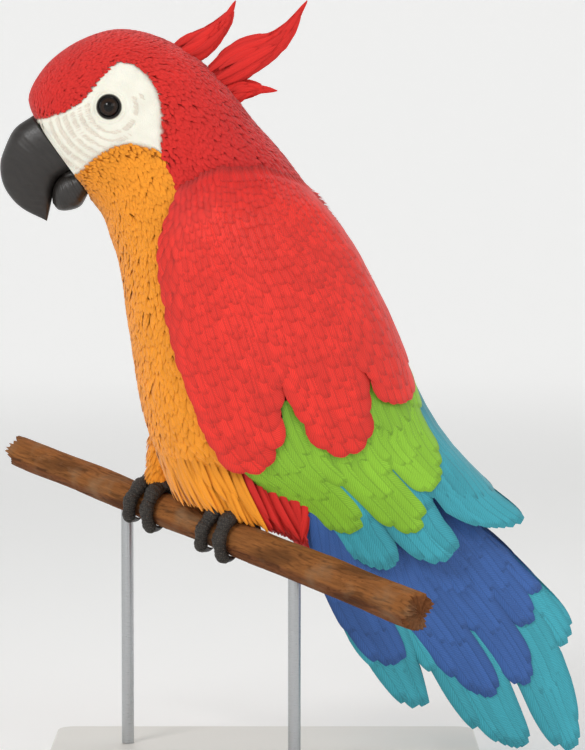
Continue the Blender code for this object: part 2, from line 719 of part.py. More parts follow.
def main():
    for leftover in list(bpy.data.objects):
        bpy.data.objects.remove(leftover, do_unlink=True)
    looks = {
        "red": material("red plumage", (0.70, 0.04, 0.03), 0.75),
        "orange": material("orange plumage", (0.92, 0.34, 0.04), 0.75),
        "teal": material("teal plumage", (0.06, 0.37, 0.45), 0.7),
        "bill": material("black horn", (0.03, 0.025, 0.02), 0.35),
        "eye": material("dark eye", (0.01, 0.008, 0.008), 0.08),
        "foot": material("black scaly skin", (0.04, 0.035, 0.03), 0.6),
        "claw": material("claw horn", (0.02, 0.018, 0.016), 0.35),
        "bark": material("bark", (0.26, 0.1, 0.03), 0.85),
        "board": material("painted board", (0.75, 0.74, 0.71), 0.5),
        "rod": material("brushed steel", (0.55, 0.55, 0.55), 0.35, 1.0),
    }
    head, neck, trunk = add_body(looks)
    add_bill(looks)
    add_eyes(head, looks)
    add_crest(head, neck, looks)
    add_wings(looks)
    add_tail(looks)
    perch = add_perch(looks["bark"])
    for side, foot in (("left", FOOT_LEFT), ("right", FOOT_RIGHT)):
        add_foot(side, foot, looks)
        add_leg(side, foot, trunk, looks)
    add_stand(perch, looks)
    centre_on_floor()


main()
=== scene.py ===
# %% [markdown]
# # A crested macaw on a short branch
#
# The finished object is a life-size museum model: a red macaw with an orange breast, a bare cream face,
# a raised crest and long teal and blue feathers. It grips a cut branch on a small stand. The solids
# that carry it are loaded first and stay where they are. Everything below gives them their looks.

# %% Load the frame
import math

import bmesh
import bpy
import numpy as np
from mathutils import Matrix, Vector


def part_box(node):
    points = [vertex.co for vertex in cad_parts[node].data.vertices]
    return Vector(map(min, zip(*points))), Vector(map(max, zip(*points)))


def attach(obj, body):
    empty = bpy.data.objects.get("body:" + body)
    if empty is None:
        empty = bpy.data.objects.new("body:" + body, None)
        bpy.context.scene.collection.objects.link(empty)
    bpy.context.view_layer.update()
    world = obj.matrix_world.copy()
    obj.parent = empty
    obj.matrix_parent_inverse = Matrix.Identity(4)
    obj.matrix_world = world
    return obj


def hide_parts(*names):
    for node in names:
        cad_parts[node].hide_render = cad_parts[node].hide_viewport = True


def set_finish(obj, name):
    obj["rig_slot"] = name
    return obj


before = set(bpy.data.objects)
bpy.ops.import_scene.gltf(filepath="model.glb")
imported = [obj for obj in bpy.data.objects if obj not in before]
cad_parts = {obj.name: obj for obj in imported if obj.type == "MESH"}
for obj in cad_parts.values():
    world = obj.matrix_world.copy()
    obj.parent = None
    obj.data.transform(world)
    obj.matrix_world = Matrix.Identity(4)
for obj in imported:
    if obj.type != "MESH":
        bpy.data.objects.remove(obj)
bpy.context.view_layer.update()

# %% [markdown]
# ## One set of axes
#
# The bird is drawn in millimetres: -X is ahead of it, -Y is its left, and z is 0 under the base board.
# The loaded frame has its origin under the middle of the whole object instead. The board is the one
# plain box whose place is known in both, so it gives the step from one to the other.

# %% Step from the drawing to the frame
MM = 0.001
BOARD_CENTRE = np.array((-25.0, 0.0, 0.0))
board_low, board_high = (np.array(corner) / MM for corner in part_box("stand_base"))
SHIFT = np.array((*((board_low + board_high) / 2)[:2], board_low[2])) - BOARD_CENTRE
random = np.random.default_rng(7)
print("shift in mm:", SHIFT.round(2))


def placed(points):
    """Points in the frame, in metres: the drawing's millimetres, plus the shift, times 0.001."""
    return (np.asarray(points, float) + SHIFT) * MM


# %% [markdown]
# ## Colours and nodes
#
# Paint charts and screens name colours in sRGB, while a renderer adds light in linear values. One
# function turns the first into the second. Another adds a shader node with its settings and links, so
# that each material below reads as a list of what it is made of.

# %% Colour and node helpers
def linear(code):
    """Linear red, green and blue of an sRGB hex code: each channel is below 0.04045 divided by 12.92,
    and above it raised by 0.055, divided by 1.055, to the power 2.4."""
    s = np.array([int(code[i : i + 2], 16) for i in (1, 3, 5)]) / 255
    return np.where(s <= 0.04045, s / 12.92, ((s + 0.055) / 1.055) ** 2.4)


def rgba(code):
    """The linear colour of a hex code, fully opaque."""
    return (*linear(code), 1.0)


def feed(node, inputs):
    """Fills a node's inputs, each with a value, a socket to link from, or a node, whose first output
    is linked."""
    for key, value in inputs.items():
        if isinstance(value, bpy.types.Node):
            value = value.outputs[0]
        if isinstance(value, bpy.types.NodeSocket):
            node.id_data.links.new(value, node.inputs[key])
        else:
            node.inputs[key].default_value = value


def add(tree, kind, inputs=None, **settings):
    """One shader node of a kind, with its settings and its inputs."""
    made = tree.nodes.new("ShaderNode" + kind)
    for key, value in settings.items():
        setattr(made, key, value)
    feed(made, inputs or {})
    return made


def new_material(name, inputs):
    """A material, its node tree, and its Principled shader with the given constant inputs."""
    made = bpy.data.materials.new(name)
    made.use_nodes = True
    shader = made.node_tree.nodes["Principled BSDF"]
    feed(shader, inputs)
    return made, made.node_tree, shader


# %% [markdown]
# ## The body as a row of sections
#
# A bird's body is a smooth tapering shape, and a museum modeller would carve it from a few profile
# cuts. Each section below is an ellipse that stands on the line from a back point to a belly point.
# The sections turn with the body, from the base of the bill over the head and down to the tips of the
# closed wings. A smooth curve through each column of the table gives every section in between.

# %% Sections of the body and the tail
# Back x and z, belly x and z, half width.
BODY = np.array([
    (-210, 529, -165, 466, 23),
    (-213, 544, -165, 465, 28),
    (-206, 560, -164, 464, 33),
    (-192, 576, -164, 462, 36),
    (-170, 590, -162, 460, 39),
    (-142, 598, -160, 457, 41),
    (-112, 593, -156, 452, 42),
    (-81, 577, -152, 444, 43),
    (-55, 553, -148, 431, 45),
    (-34, 526, -143, 417, 48),
    (-11, 500, -139, 397, 52),
    (10, 472, -136, 373, 57),
    (31, 442, -132, 347, 62),
    (49, 413, -128, 319, 65),
    (64, 384, -123, 293, 67),
    (79, 351, -115, 267, 67),
    (94, 317, -104, 248, 65),
    (109, 288, -84, 237, 61),
    (126, 264, -54, 227, 56),
    (145, 244, -20, 205, 50),
    (165, 227, 8, 175, 44),
    (185, 212, 30, 143, 39),
    (204, 199, 54, 129, 35),
], float)
# Section, drop of the back as a share of its height, and half width, under the closed wings.
RUMP = ((15, 0.01, 66), (16, 0.05, 62), (17, 0.11, 56), (18, 0.18, 48), (19, 0.28, 38), (20, 0.42, 26),
        (21, 0.58, 13))
# The arch of the tail: ridge x and z, lower edge x and z, half width.
TAIL = np.array([
    (120, 224, 14, 170, 32),
    (140, 206, 23, 153, 31),
    (161, 187, 32, 137, 29),
    (181, 166, 43, 116, 27),
    (201, 146, 54, 99, 25),
    (221, 124, 69, 77, 22),
    (237, 99, 86, 54, 19),
    (247, 68, 112, 27, 16),
    (254, 36, 145, 5, 13),
    (261, 10, 178, -17, 11),
], float)


def smooth(rows, t):
    """Point of the Catmull-Rom curve through evenly spaced rows: between rows b and c it starts at b
    with slope (c - a) / 2 and ends at c with slope (d - b) / 2."""
    rows = np.asarray(rows, float)
    t = np.clip(np.asarray(t, float), 0, len(rows) - 1)
    i = np.minimum(t.astype(int), len(rows) - 2)
    f = (t - i)[..., None]
    p = np.vstack([2 * rows[0] - rows[1], rows, 2 * rows[-1] - rows[-2]])
    a, b, c, d = p[i], p[i + 1], p[i + 2], p[i + 3]
    return b + 0.5 * f * (c - a + f * (2 * a - 5 * b + 4 * c - d + f * (3 * (b - c) + d - a)))


def body_surface(rows, t, turn):
    """The body: a turn of 0 is on the back, pi/2 on the left side, pi on the belly. The point is
    back + (1 - cos turn) / 2 of the way to the belly, and half width times sin turn out to the left."""
    back_x, back_z, belly_x, belly_z, half = np.moveaxis(smooth(rows, t), -1, 0)
    share = (1 - np.cos(turn)) / 2
    x = back_x + share * (belly_x - back_x)
    z = back_z + share * (belly_z - back_z)
    return np.stack([x, -half * np.sin(turn), z], axis=-1)


def tail_surface(rows, t, turn):
    """The tail's arch: a turn of 0 is on the ridge and pi/2 on the left lower edge."""
    top_x, top_z, low_x, low_z, half = np.moveaxis(smooth(rows, t), -1, 0)
    share = 1 - np.cos(turn)
    x = top_x + share * (low_x - top_x)
    z = top_z + share * (low_z - top_z)
    return np.stack([x, -half * np.sin(turn), z], axis=-1)


def unit(vectors):
    """Vectors divided by their length."""
    return vectors / np.maximum(np.linalg.norm(vectors, axis=-1, keepdims=True), 1e-9)


def outward(surface, rows, t, turn):
    """A surface's point and its outward normal, the cross product of its two small steps."""
    step = 0.02
    ahead = surface(rows, t + step, turn) - surface(rows, t - step, turn)
    around = surface(rows, t, turn + step) - surface(rows, t, turn - step)
    return surface(rows, t, turn), unit(np.cross(around, ahead))


def trunk_rows():
    """The body's sections with the rump drawn in under the wings."""
    rows = BODY.copy()
    for section, drop, half in RUMP:
        rows[section, :2] += drop * (rows[section, 2:4] - rows[section, :2])
        rows[section, 4] = half
    return rows


TRUNK = trunk_rows()
SKIN_END = 21.0
print("sections:", len(BODY), "body and", len(TAIL), "tail")

# %% [markdown]
# ## Where the colours lie
#
# The markings are laid out in the side view, as a painter would block them in on a carved bird: the bare
# cream face, the orange of throat, breast and thighs, and red for all the rest. A colour's outline is
# a short list of corners in that view. How deep a point lies inside an outline decides its colour, and
# also how small the feathers get towards the bare face.

# %% Markings in the side view
FACE = np.array([
    (-216, 517), (-212, 525), (-197, 527), (-184, 531.5), (-172, 539), (-161, 551), (-153, 563), (-146, 570),
    (-138, 572.6), (-128, 570.5), (-118.8, 563), (-110, 551), (-106.6, 539), (-105.8, 526), (-106.2, 510),
    (-105, 499), (-112, 502.5), (-121, 505.5), (-132, 506.5), (-143.6, 504.6), (-156, 498), (-167, 488.6),
    (-176, 479), (-230, 479),
])
BREAST = np.array([
    (-176, 484), (-167, 494), (-156, 503), (-143.6, 509), (-132, 510), (-121, 509), (-108, 503),
    (-103, 491), (-97, 479), (-91.6, 467), (-84, 440), (-70, 400), (-58, 350), (-50, 300), (-40, 245),
    (-35.6, 227), (-32.4, 215), (-26, 203), (-16, 190), (0, 150), (-300, 120), (-300, 479),
])


def depth_inside(outline, points):
    """How far points lie inside a closed outline in mm, and below zero outside: the distance to the
    nearest side, with its sign from how many sides a line to the right crosses."""
    x, z = points[..., 0], points[..., 1]
    nearest = np.full(x.shape, 1e9)
    within = np.zeros(x.shape, bool)
    for (ax, az), (bx, bz) in zip(outline, np.roll(outline, -1, axis=0)):
        dx, dz = bx - ax, bz - az
        along = np.clip(((x - ax) * dx + (z - az) * dz) / (dx * dx + dz * dz), 0, 1)
        nearest = np.minimum(nearest, np.hypot(x - ax - along * dx, z - az - along * dz))
        if az != bz:
            within ^= ((az > z) != (bz > z)) & (x < ax + dx * (z - az) / dz)
    return np.where(within, nearest, -nearest)


def side_view(points):
    """x and z of points seen from their own side of the bird."""
    return points[..., [0, 2]]


def stepped(low, high, value):
    """0 below low, 1 above high, and smooth between: 3 q squared minus 2 q cubed."""
    q = np.clip((value - low) / (high - low), 0, 1)
    return q * q * (3 - 2 * q)


RED = linear("#e2261f")
DEEP_RED = linear("#cc2828")
WING_RED = linear("#ee3226")
ORANGE = linear("#fb9c20")
GREEN = linear("#90c832")
TEAL = linear("#3fa8b8")
BLUE = linear("#3a63a8")
CREAM = linear("#fbf8e9")
LID_SKIN_AND_NOSTRIL_SHADE = linear("#1f1b18")


def markings(points):
    """The plumage colour at points: red, deeper towards the neck's shaded back, blue on the rump
    between the wings, and orange inside the breast's outline."""
    at = side_view(points)
    nape = stepped(-120, -20, at[..., 0]) * stepped(430, 500, at[..., 1])
    red = RED + 0.6 * nape[..., None] * (DEEP_RED - RED)
    rump = (stepped(62, 70, at[..., 0]) * stepped(338, 330, at[..., 1]))[..., None]
    orange = (depth_inside(BREAST, at) > 0)[..., None]
    return np.where(orange, ORANGE, red + rump * (BLUE - red))


print("face and breast outlines:", len(FACE), "and", len(BREAST), "corners")

# %% [markdown]
# ## Putting arrays into meshes
#
# Ten thousand feathers can't be placed one object at a time. Each group is worked out as one array of
# points and one array of four-cornered faces, and both go into the mesh in a single call. Colours and
# other values that the materials read are written as point attributes in the same way.

# %% Mesh helpers
def new_piece(name, points, quads, look, slot, triangles=()):
    """An object from points in the drawing's millimetres and faces of four, then of three corners."""
    quads = np.asarray(quads, np.int32).reshape(-1, 4)
    triangles = np.asarray(triangles, np.int32).reshape(-1, 3)
    corners = np.concatenate([quads.ravel(), triangles.ravel()])
    starts = np.concatenate([np.arange(len(quads)) * 4, 4 * len(quads) + np.arange(len(triangles)) * 3])
    mesh = bpy.data.meshes.new(name)
    mesh.vertices.add(len(points))
    mesh.vertices.foreach_set("co", placed(points).astype(np.float32).ravel())
    mesh.loops.add(len(corners))
    mesh.loops.foreach_set("vertex_index", corners)
    mesh.polygons.add(len(starts))
    mesh.polygons.foreach_set("loop_start", starts.astype(np.int32))
    mesh.update(calc_edges=True)
    mesh.validate()
    mesh.shade_smooth()
    mesh.materials.append(look)
    piece = bpy.data.objects.new(name, mesh)
    bpy.context.scene.collection.objects.link(piece)
    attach(piece, "root")
    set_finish(piece, slot)
    return piece


def write_values(mesh, name, kind, values):
    """A point attribute, with one value for each vertex."""
    field = {"FLOAT": "value", "FLOAT_VECTOR": "vector", "FLOAT_COLOR": "color"}[kind]
    mesh.attributes.new(name, kind, "POINT").data.foreach_set(field, np.asarray(values, np.float32).ravel())


def write_colours(mesh, colours):
    """Linear colours, one for each vertex."""
    write_values(mesh, "plumage", "FLOAT_COLOR", np.c_[colours, np.ones(len(colours))])


def write_map(mesh, places):
    """The bake map, from one place for each vertex."""
    corners = np.empty(len(mesh.loops), np.int32)
    mesh.loops.foreach_get("vertex_index", corners)
    mesh.uv_layers.new(name="OFBake").data.foreach_set("uv", places[corners].astype(np.float32).ravel())


def told(piece):
    """Prints what was made, and gives it back."""
    print(piece.name, len(piece.data.polygons), "faces")
    return piece


def grid_quads(rows, columns, ring=False):
    """Faces between neighbours of a grid of points, and round it where each row is a closed ring."""
    index = np.arange(rows * columns).reshape(rows, columns)
    index = np.c_[index, index[:, :1]] if ring else index
    return np.stack([index[:-1, :-1], index[1:, :-1], index[1:, 1:], index[:-1, 1:]], axis=-1).reshape(-1, 4)


def denser(first, last, count, centres, reach, boost):
    """Steps from first to last that are finer near the centres: the steps' density is 1 plus boost
    times a bell of the distance to each centre, and its running sum is read back evenly."""
    fine = np.linspace(first, last, 4001)
    density = 1 + sum(boost * np.exp(-(((fine - centre) / reach) ** 2)) for centre in centres)
    share = np.cumsum(density)
    share = (share - share[0]) / (share[-1] - share[0])
    return np.interp(np.linspace(0, 1, count), share, fine)


# %% [markdown]
# ## Skin
#
# Under its feathers a bird has one thin skin from bill to tail. It shows only on a macaw's face, where
# it is bare, cream and finely folded, and at the dark rims of the eyelids. The skin is the body's
# surface drawn in by the depth of the coat. On the face it comes back out to the true outline. Small
# heights added along its normal make the lids, the socket, the nostrils and the folds at the bill. The
# grid is finest round the eyes, so that these stay round.

# %% Heights of the skin
EYE = np.array((-147.0, -40.9, 536.0))
EYE_RADIUS = 10.5
EYE_INSET = 6.5
EYE_SECTION = 5.165
EYE_TURN = 1.446
LID_INNER = 7.9
# The lids are only on the head's sides, this far from its middle.
LIDS_FROM = 20
NOSTRIL = np.array((-203.5, 520.0))
COAT_SECTIONS = (0, 3, 7, 10, 13, 21)
COAT_DEPTHS = (1.5, 2.0, 2.8, 3.6, 4.4, 4.6)


def coat_depth(t):
    """How far the skin lies below the plumage in mm."""
    return np.interp(t, COAT_SECTIONS, COAT_DEPTHS)


def coat_places(t, turn):
    """Places on the bake map, where the skin is unrolled: its turn across and its section up."""
    return np.stack([0.02 + 0.96 * (turn % (2 * math.pi)) / (2 * math.pi), 0.02 + 0.9 * t / SKIN_END], axis=1)


def from_eye(points):
    """Distance from the axis through both eyes in mm."""
    return np.hypot(points[..., 0] - EYE[0], points[..., 2] - EYE[2])


def from_nostril(at):
    """Distance from the middle of the nostril in mm, which counts less up and down: it is an oval."""
    return np.hypot(at[..., 0] - NOSTRIL[0], (at[..., 1] - NOSTRIL[1]) * 0.8)


def lid_height(r):
    """Height round the eye at a distance r in mm: a drop behind the eyeball inside the lids, a round
    rim just outside them, then two shallow folds."""
    socket = -8 * stepped(LID_INNER - 0.2, LID_INNER - 1.1, r)
    rim = 1.75 * np.exp(-(((r - 8.9) / 1.0) ** 2))
    folds = -0.45 * np.exp(-(((r - 11.3) / 0.7) ** 2)) + 0.4 * np.exp(-(((r - 12.8) / 0.9) ** 2))
    return socket + rim + folds - 0.3 * np.exp(-(((r - 14.6) / 0.7) ** 2))


def face_height(points):
    """Folds that run round the bill's base, and the pit of the nostril."""
    at = side_view(points)
    top, low = BODY[0, :2], BODY[0, 2:4]
    along = unit(low - top)
    from_bill = np.abs((at[..., 0] - top[0]) * along[1] - (at[..., 1] - top[1]) * along[0])
    folds = 0.4 * np.sin(2 * math.pi * from_bill / 3.1) * np.exp(-from_bill / 6)
    return folds - 2.4 * np.exp(-((from_nostril(at) / 1.9) ** 2))


def skin_surface(t, turn):
    """The body's surface moved along its normal by minus the coat's depth, with the face's own heights."""
    point, normal = outward(body_surface, TRUNK, t, turn)
    bare = stepped(-1.0, 3.0, depth_inside(FACE, side_view(point)))
    height = -coat_depth(t) * (1 - bare) - 0.5 * bare
    lids = np.where(np.abs(point[..., 1]) > LIDS_FROM, lid_height(from_eye(point)), 0)
    height += lids + bare * face_height(point)
    return point + normal * height[..., None]


# %% [markdown]
# The feathered thighs grow out of the belly. Two plain tubes carry them down to just above the feet,
# and a Boolean union makes them one with the rest of the skin, as one closed surface.

# %% Build the skin
FOOT_RIGHT = np.array((-114, 26, 213), float)
FOOT_LEFT = np.array((-54, -26, 195), float)
PERCH_SPAN = (-165, 286)
PERCH_RADIUS = (12.6, 15.0)
TOE_CLEAR = 1.1
TOE_RADIUS = (6.3, 4.8)
THIGH_RINGS = 24
THIGH_SIDES = 32
PERCH_AXIS = unit(FOOT_LEFT - FOOT_RIGHT)
PERCH_FORWARD = unit(-np.cross((0, 0, 1), PERCH_AXIS))
PERCH_UP = np.cross(PERCH_FORWARD, PERCH_AXIS)


def perch_radius(place):
    """The perch's radius at a place along its axis, which grows towards its thicker end."""
    return np.interp(place, PERCH_SPAN, PERCH_RADIUS)


def along_points(points, count):
    """Evenly spaced points on the smooth curve through the given ones."""
    dense = smooth(points, np.linspace(0, len(points) - 1, 60 * len(points)))
    length = np.r_[0, np.cumsum(np.linalg.norm(np.diff(dense, axis=0), axis=1))]
    wanted = np.linspace(0, length[-1], count)
    return np.stack([np.interp(wanted, length, column) for column in dense.T], axis=1)


def thigh_path(foot, count):
    """From just above the foot, straight up at first, to the hip inside the belly."""
    at = perch_radius((foot - FOOT_RIGHT) @ PERCH_AXIS)
    low = foot + (at + TOE_CLEAR + TOE_RADIUS[0] + 10) * PERCH_UP
    hip = np.array((foot[0] + 12, foot[1] * 0.8, foot[2] + 66))
    return along_points([low, low + 6 * PERCH_UP, low + 14 * PERCH_UP, hip], count)


def tube_points(path, radii, across, sides, height=None, groove=None):
    """Rings round a path: cos times the radius along the first axis, plus sin times the height along
    the second. A groove array adds to both."""
    path = np.asarray(path, float)
    ahead = unit(np.gradient(path, axis=0, edge_order=min(2, len(path) - 1)))
    side = unit(np.asarray(across, float) - (ahead @ np.asarray(across, float))[:, None] * ahead)
    rise = np.cross(ahead, side)
    turn = np.linspace(0, 2 * math.pi, sides, endpoint=False)[None, :]
    extra = 0 if groove is None else groove
    wide = np.asarray(radii, float)[:, None] + extra
    tall = np.asarray(radii if height is None else height, float)[:, None] + extra
    return (path[:, None] + (wide * np.cos(turn))[..., None] * side[:, None]
            + (tall * np.sin(turn))[..., None] * rise[:, None])


def closed_rings(rings):
    """Points, four-cornered faces and pole triangles of a tube of rings, closed at both ends by a fan
    round the middle of its end ring."""
    count, sides, _ = rings.shape
    points = np.vstack([rings.reshape(-1, 3), rings[0].mean(axis=0), rings[-1].mean(axis=0)])
    quads = grid_quads(count, sides, ring=True)[:, ::-1]
    j = np.arange(sides)
    k = (j + 1) % sides
    last = (count - 1) * sides
    first_pole = np.stack([k, j, np.full(sides, count * sides)], axis=1)
    last_pole = np.stack([last + j, last + k, np.full(sides, count * sides + 1)], axis=1)
    return points, quads, np.vstack([first_pole, last_pole])


def tube_piece(name, rings, look, slot):
    """A closed tube of rings, with its faces pointing outwards."""
    points, quads, triangles = closed_rings(rings)
    piece = new_piece(name, points, quads, look, slot, triangles)
    work = bmesh.new()
    work.from_mesh(piece.data)
    bmesh.ops.recalc_face_normals(work, faces=work.faces)
    work.to_mesh(piece.data)
    work.free()
    return piece


def united(piece, others):
    """The piece with the others joined to it by Boolean union, and the others removed."""
    for other in others:
        change = piece.modifiers.new("union", "BOOLEAN")
        change.operation = "UNION"
        change.solver = "EXACT"
        change.object = other
    graph = bpy.context.evaluated_depsgraph_get()
    mesh = bpy.data.meshes.new_from_object(piece.evaluated_get(graph))
    piece.modifiers.clear()
    piece.data = mesh
    for other in others:
        bpy.data.objects.remove(other)


def vertices_of(mesh):
    """A mesh's vertices in the drawing's millimetres."""
    points = np.empty(len(mesh.vertices) * 3, np.float32)
    mesh.vertices.foreach_get("co", points)
    return points.reshape(-1, 3) / MM - SHIFT


def build_skin(look):
    """The skin's grid, closed inside both ends by three smaller rings, with the thighs joined to it."""
    t = denser(0, SKIN_END, 250, [EYE_SECTION], 0.75, 7)
    turn = denser(0, 2 * math.pi, 289, [EYE_TURN, 2 * math.pi - EYE_TURN], 0.19, 5)[:-1]
    grid = skin_surface(t[:, None], turn[None, :])
    front, rear = grid[0].mean(axis=0), grid[-1].mean(axis=0)
    inward = np.array((0.94, 0.7, 0.35))[:, None, None]
    front_rings, rear_rings = front + inward[::-1] * (grid[0] - front), rear + inward * (grid[-1] - rear)
    grid = np.concatenate([front_rings, grid, rear_rings])
    rows = np.repeat(np.r_[[t[0]] * 3, t, [t[-1]] * 3], len(turn))
    places = coat_places(rows, np.tile(turn, len(grid)))
    skin = tube_piece("skin", grid, look, "bare_skin")
    write_map(skin.data, np.vstack([places, (0.5, 0.01), (0.5, 0.93)]))
    thighs = []
    for side, foot, low in (("left", FOOT_LEFT, 0.95), ("right", FOOT_RIGHT, 0.97)):
        radius = np.interp(np.linspace(0, 1, THIGH_RINGS), (0, 0.7, 0.9, 1), (9, 13, 10, 5))
        rings = tube_points(thigh_path(foot, THIGH_RINGS), radius, (0, 1, 0), THIGH_SIDES)
        thigh = tube_piece("thigh_" + side, rings, look, "bare_skin")
        around = np.tile(np.arange(THIGH_SIDES) / THIGH_SIDES, THIGH_RINGS)
        down = np.repeat(np.arange(THIGH_RINGS) / THIGH_RINGS, THIGH_SIDES)
        unrolled = np.c_[0.02 + 0.9 * around, low + 0.015 * down]
        write_map(thigh.data, np.vstack([unrolled, (0.5, low), (0.5, low)]))
        thighs.append(thigh)
    united(skin, thighs)
    return skin


# %% [markdown]
# Bare macaw skin is matt, faintly translucent and covered with shallow crossing wrinkles a millimetre
# or two apart. Its colours are point attributes, so the cream face, the black lids and the skin under
# each colour of feather share one material. The wrinkles are a cell pattern in object coordinates.

# %% Bare skin material
def make_bare_skin():
    """Living skin over soft tissue: an index of 1.4, matt, with a little light carried inside it."""
    made, tree, shader = new_material("bare_macaw_skin", {
        "IOR": 1.4, "Roughness": 0.62, "Subsurface Weight": 0.12, "Subsurface Scale": 0.001,
        "Subsurface Radius": (1.0, 0.45, 0.3)})
    place = add(tree, "TexCoord").outputs["Object"]
    colour = add(tree, "Attribute", attribute_name="plumage")
    cells = add(tree, "TexVoronoi", {"Vector": place, "Scale": 1 / (1.6 * MM), "Randomness": 0.9},
                feature="DISTANCE_TO_EDGE")
    crease = add(tree, "Math", {0: cells, 1: 0.12}, operation="MINIMUM")
    blotch = add(tree, "TexNoise", {"Vector": place, "Scale": 1 / (14 * MM), "Detail": 3.0})
    swell = add(tree, "Math", {0: blotch, 1: 0.5}, operation="MULTIPLY")
    height = add(tree, "Math", {0: crease, 1: 6.0, 2: swell}, operation="MULTIPLY_ADD")
    tone = add(tree, "MapRange", {"Value": blotch, "From Min": 0.3, "From Max": 0.7,
                                  "To Min": 0.93, "To Max": 1.03})
    feed(shader, {
        "Base Color": add(tree, "VectorMath", {0: colour, "Scale": tone}, operation="SCALE"),
        "Normal": add(tree, "Bump", {"Height": height, "Strength": 0.6, "Distance": 0.35 * MM})})
    return made


def colour_skin(skin):
    """Writes the markings, a fifth darker as painted shade for the gaps between feathers, the cream face, the
    dark lids and painted shade in the nostril pits on the skin's vertices.
    """
    points = vertices_of(skin.data)
    at = side_view(points)
    # Painted shade: under the feathers the skin has the plumage's colour, a fifth darker, for the gaps
    # between them.
    colours = markings(points) * 0.8
    bare = stepped(-1.5, 0.5, depth_inside(FACE, at))[:, None]
    lid = (stepped(10.6, 9.6, from_eye(points)) * (np.abs(points[:, 1]) > LIDS_FROM))[:, None]
    # Painted shade: the nostril's shallow pit takes the lids' dark colour, so that it reads as a hole.
    nostril = stepped(2.2, 1.2, from_nostril(at))[:, None]
    colours += bare * (CREAM - colours)
    colours += np.maximum(lid, nostril) * (LID_SKIN_AND_NOSTRIL_SHADE - colours)
    write_colours(skin.data, colours)


skin = build_skin(make_bare_skin())
skin.name = skin.data.name = "skin"
colour_skin(skin)
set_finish(skin, "red_plumage")
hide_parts("head", "neck", "trunk", "leg_left", "leg_right")
told(skin)

# %% [markdown]
# ## Feathers as vanes
#
# A feather is a flat vane on a stiff shaft. Fine barbs leave the shaft at a slant, and the web that
# they form bends in a shallow arch. Hair curves or instances would be lost on export, so every feather
# here is a thin closed solid: a ring of a few points carried along the shaft, wide past the middle and
# round at the tip. One function makes any number of them at once from the lines of their shafts.

# %% The vane function
# Points of a vane's section: place across, height, and how far the point's barbs stand out at the tip.
LENS = np.array([(-1, 0, -0.8), (0, 1, 0.5), (1, 0, -0.8), (0, -0.5, 0.3)])
ARCH = np.array([(-1, 0, -1), (-0.5, 0.75, 0.5), (0, 1, -0.35), (0.5, 0.75, 0.5), (1, 0, -1),
                 (0, -0.4, -0.4)])
PATCH = 0.003
SHAFT_SHARE = 0.034


def vane_outline(q, base, widest):
    """Half width as a share: a smooth rise from the base's share to 1 at the widest place, then the
    quarter of an ellipse down to the tip."""
    rise = base + (1 - base) * stepped(0, 1, q / widest)
    fall = np.sqrt(np.clip(1 - ((q - widest) / (1 - widest)) ** 2, 0, 1))
    return np.where(q < widest, rise, fall)


def vane_steps(rings, widest=0.62):
    """Places of the rings from root to tip, closer together where the tip rounds off."""
    even = np.linspace(0, 1, rings)
    outer = widest + (1 - widest) * np.sin((even - 0.5) * math.pi)
    return np.where(even < 0.5, even * 2 * widest, outer) * 0.985


def vanes(name, shaft, out, width, colours, places, look, slot, q,
          section=LENS, thick=0.35, arch=0.12, tilt=0.0, base=0.35, widest=0.62, blunt=0.06, fray=0.0,
          rim_shade=0.12):
    """Feathers from the lines of their shafts. Each point is shaft + across * u * w + out * h, where w
    is half the width times the outline's share, u and h come from the section, and h also falls by
    arch * w * u squared and rises by tilt * w * u. A frayed tip adds ahead * tooth * fray * w."""
    number, rings, _ = shaft.shape
    sides = len(section)
    ahead = unit(np.gradient(shaft, axis=1))
    across = unit(np.cross(out, ahead))
    face = np.cross(ahead, across)
    share = np.maximum(vane_outline(q, base, widest), blunt)[None, :]
    half = width[:, None] / 2 * share
    u, h, tooth = section.T
    reach = half[..., None] * u
    rise = (np.reshape(thick, (-1, 1, 1)) * h * np.sqrt(share)[..., None]
            - arch * half[..., None] * u**2 + np.reshape(tilt, (-1, 1, 1)) * reach)
    points = shaft[:, :, None] + reach[..., None] * across[:, :, None] + rise[..., None] * face[:, :, None]
    ragged = fray * width[:, None] / 2 * tooth * (0.4 + 1.2 * random.random((number, sides)))
    points += (ragged[:, None] * stepped(0.75, 1, q)[:, None])[..., None] * ahead[:, :, None]
    ring = grid_quads(rings, sides, ring=True)
    last = (rings - 1) * sides
    low = np.array([(3, 2, 1, 0)] if sides == 4 else [(5, 2, 1, 0), (4, 3, 2, 5)])
    caps = np.vstack([low, last + low[:, ::-1]])
    one = np.vstack([ring[:, ::-1], caps])
    quads = (one[None] + (np.arange(number) * rings * sides)[:, None, None]).reshape(-1, 4)
    piece = new_piece(name, points.reshape(-1, 3), quads[:, ::-1], look, slot)
    mesh = piece.data
    mesh.set_sharp_from_angle(angle=math.radians(70))
    length = np.linalg.norm(np.diff(shaft, axis=1), axis=-1).sum(axis=1)
    vane = np.empty((number, rings, sides, 3))
    vane[..., 0] = reach
    vane[..., 1] = (length[:, None] * q)[..., None]
    vane[..., 2] = (SHAFT_SHARE * width)[:, None, None]
    write_values(mesh, "vane", "FLOAT_VECTOR", vane)
    # Painted shade: each vane's edges and its tip are darker by rim_shade.
    rim = np.maximum(np.abs(u) > 0.9, q[:, None] > 0.95)
    write_colours(mesh, (colours[:, :, None] * (1 - rim_shade * rim)[..., None]).reshape(-1, 3))
    local = np.empty((rings, sides, 2))
    local[..., 0] = u / 2
    local[..., 1] = q[:, None] - 0.5 - 0.06 * (h < 0)
    write_map(mesh, (places[:, None, None] + local * PATCH).reshape(-1, 2))
    return piece


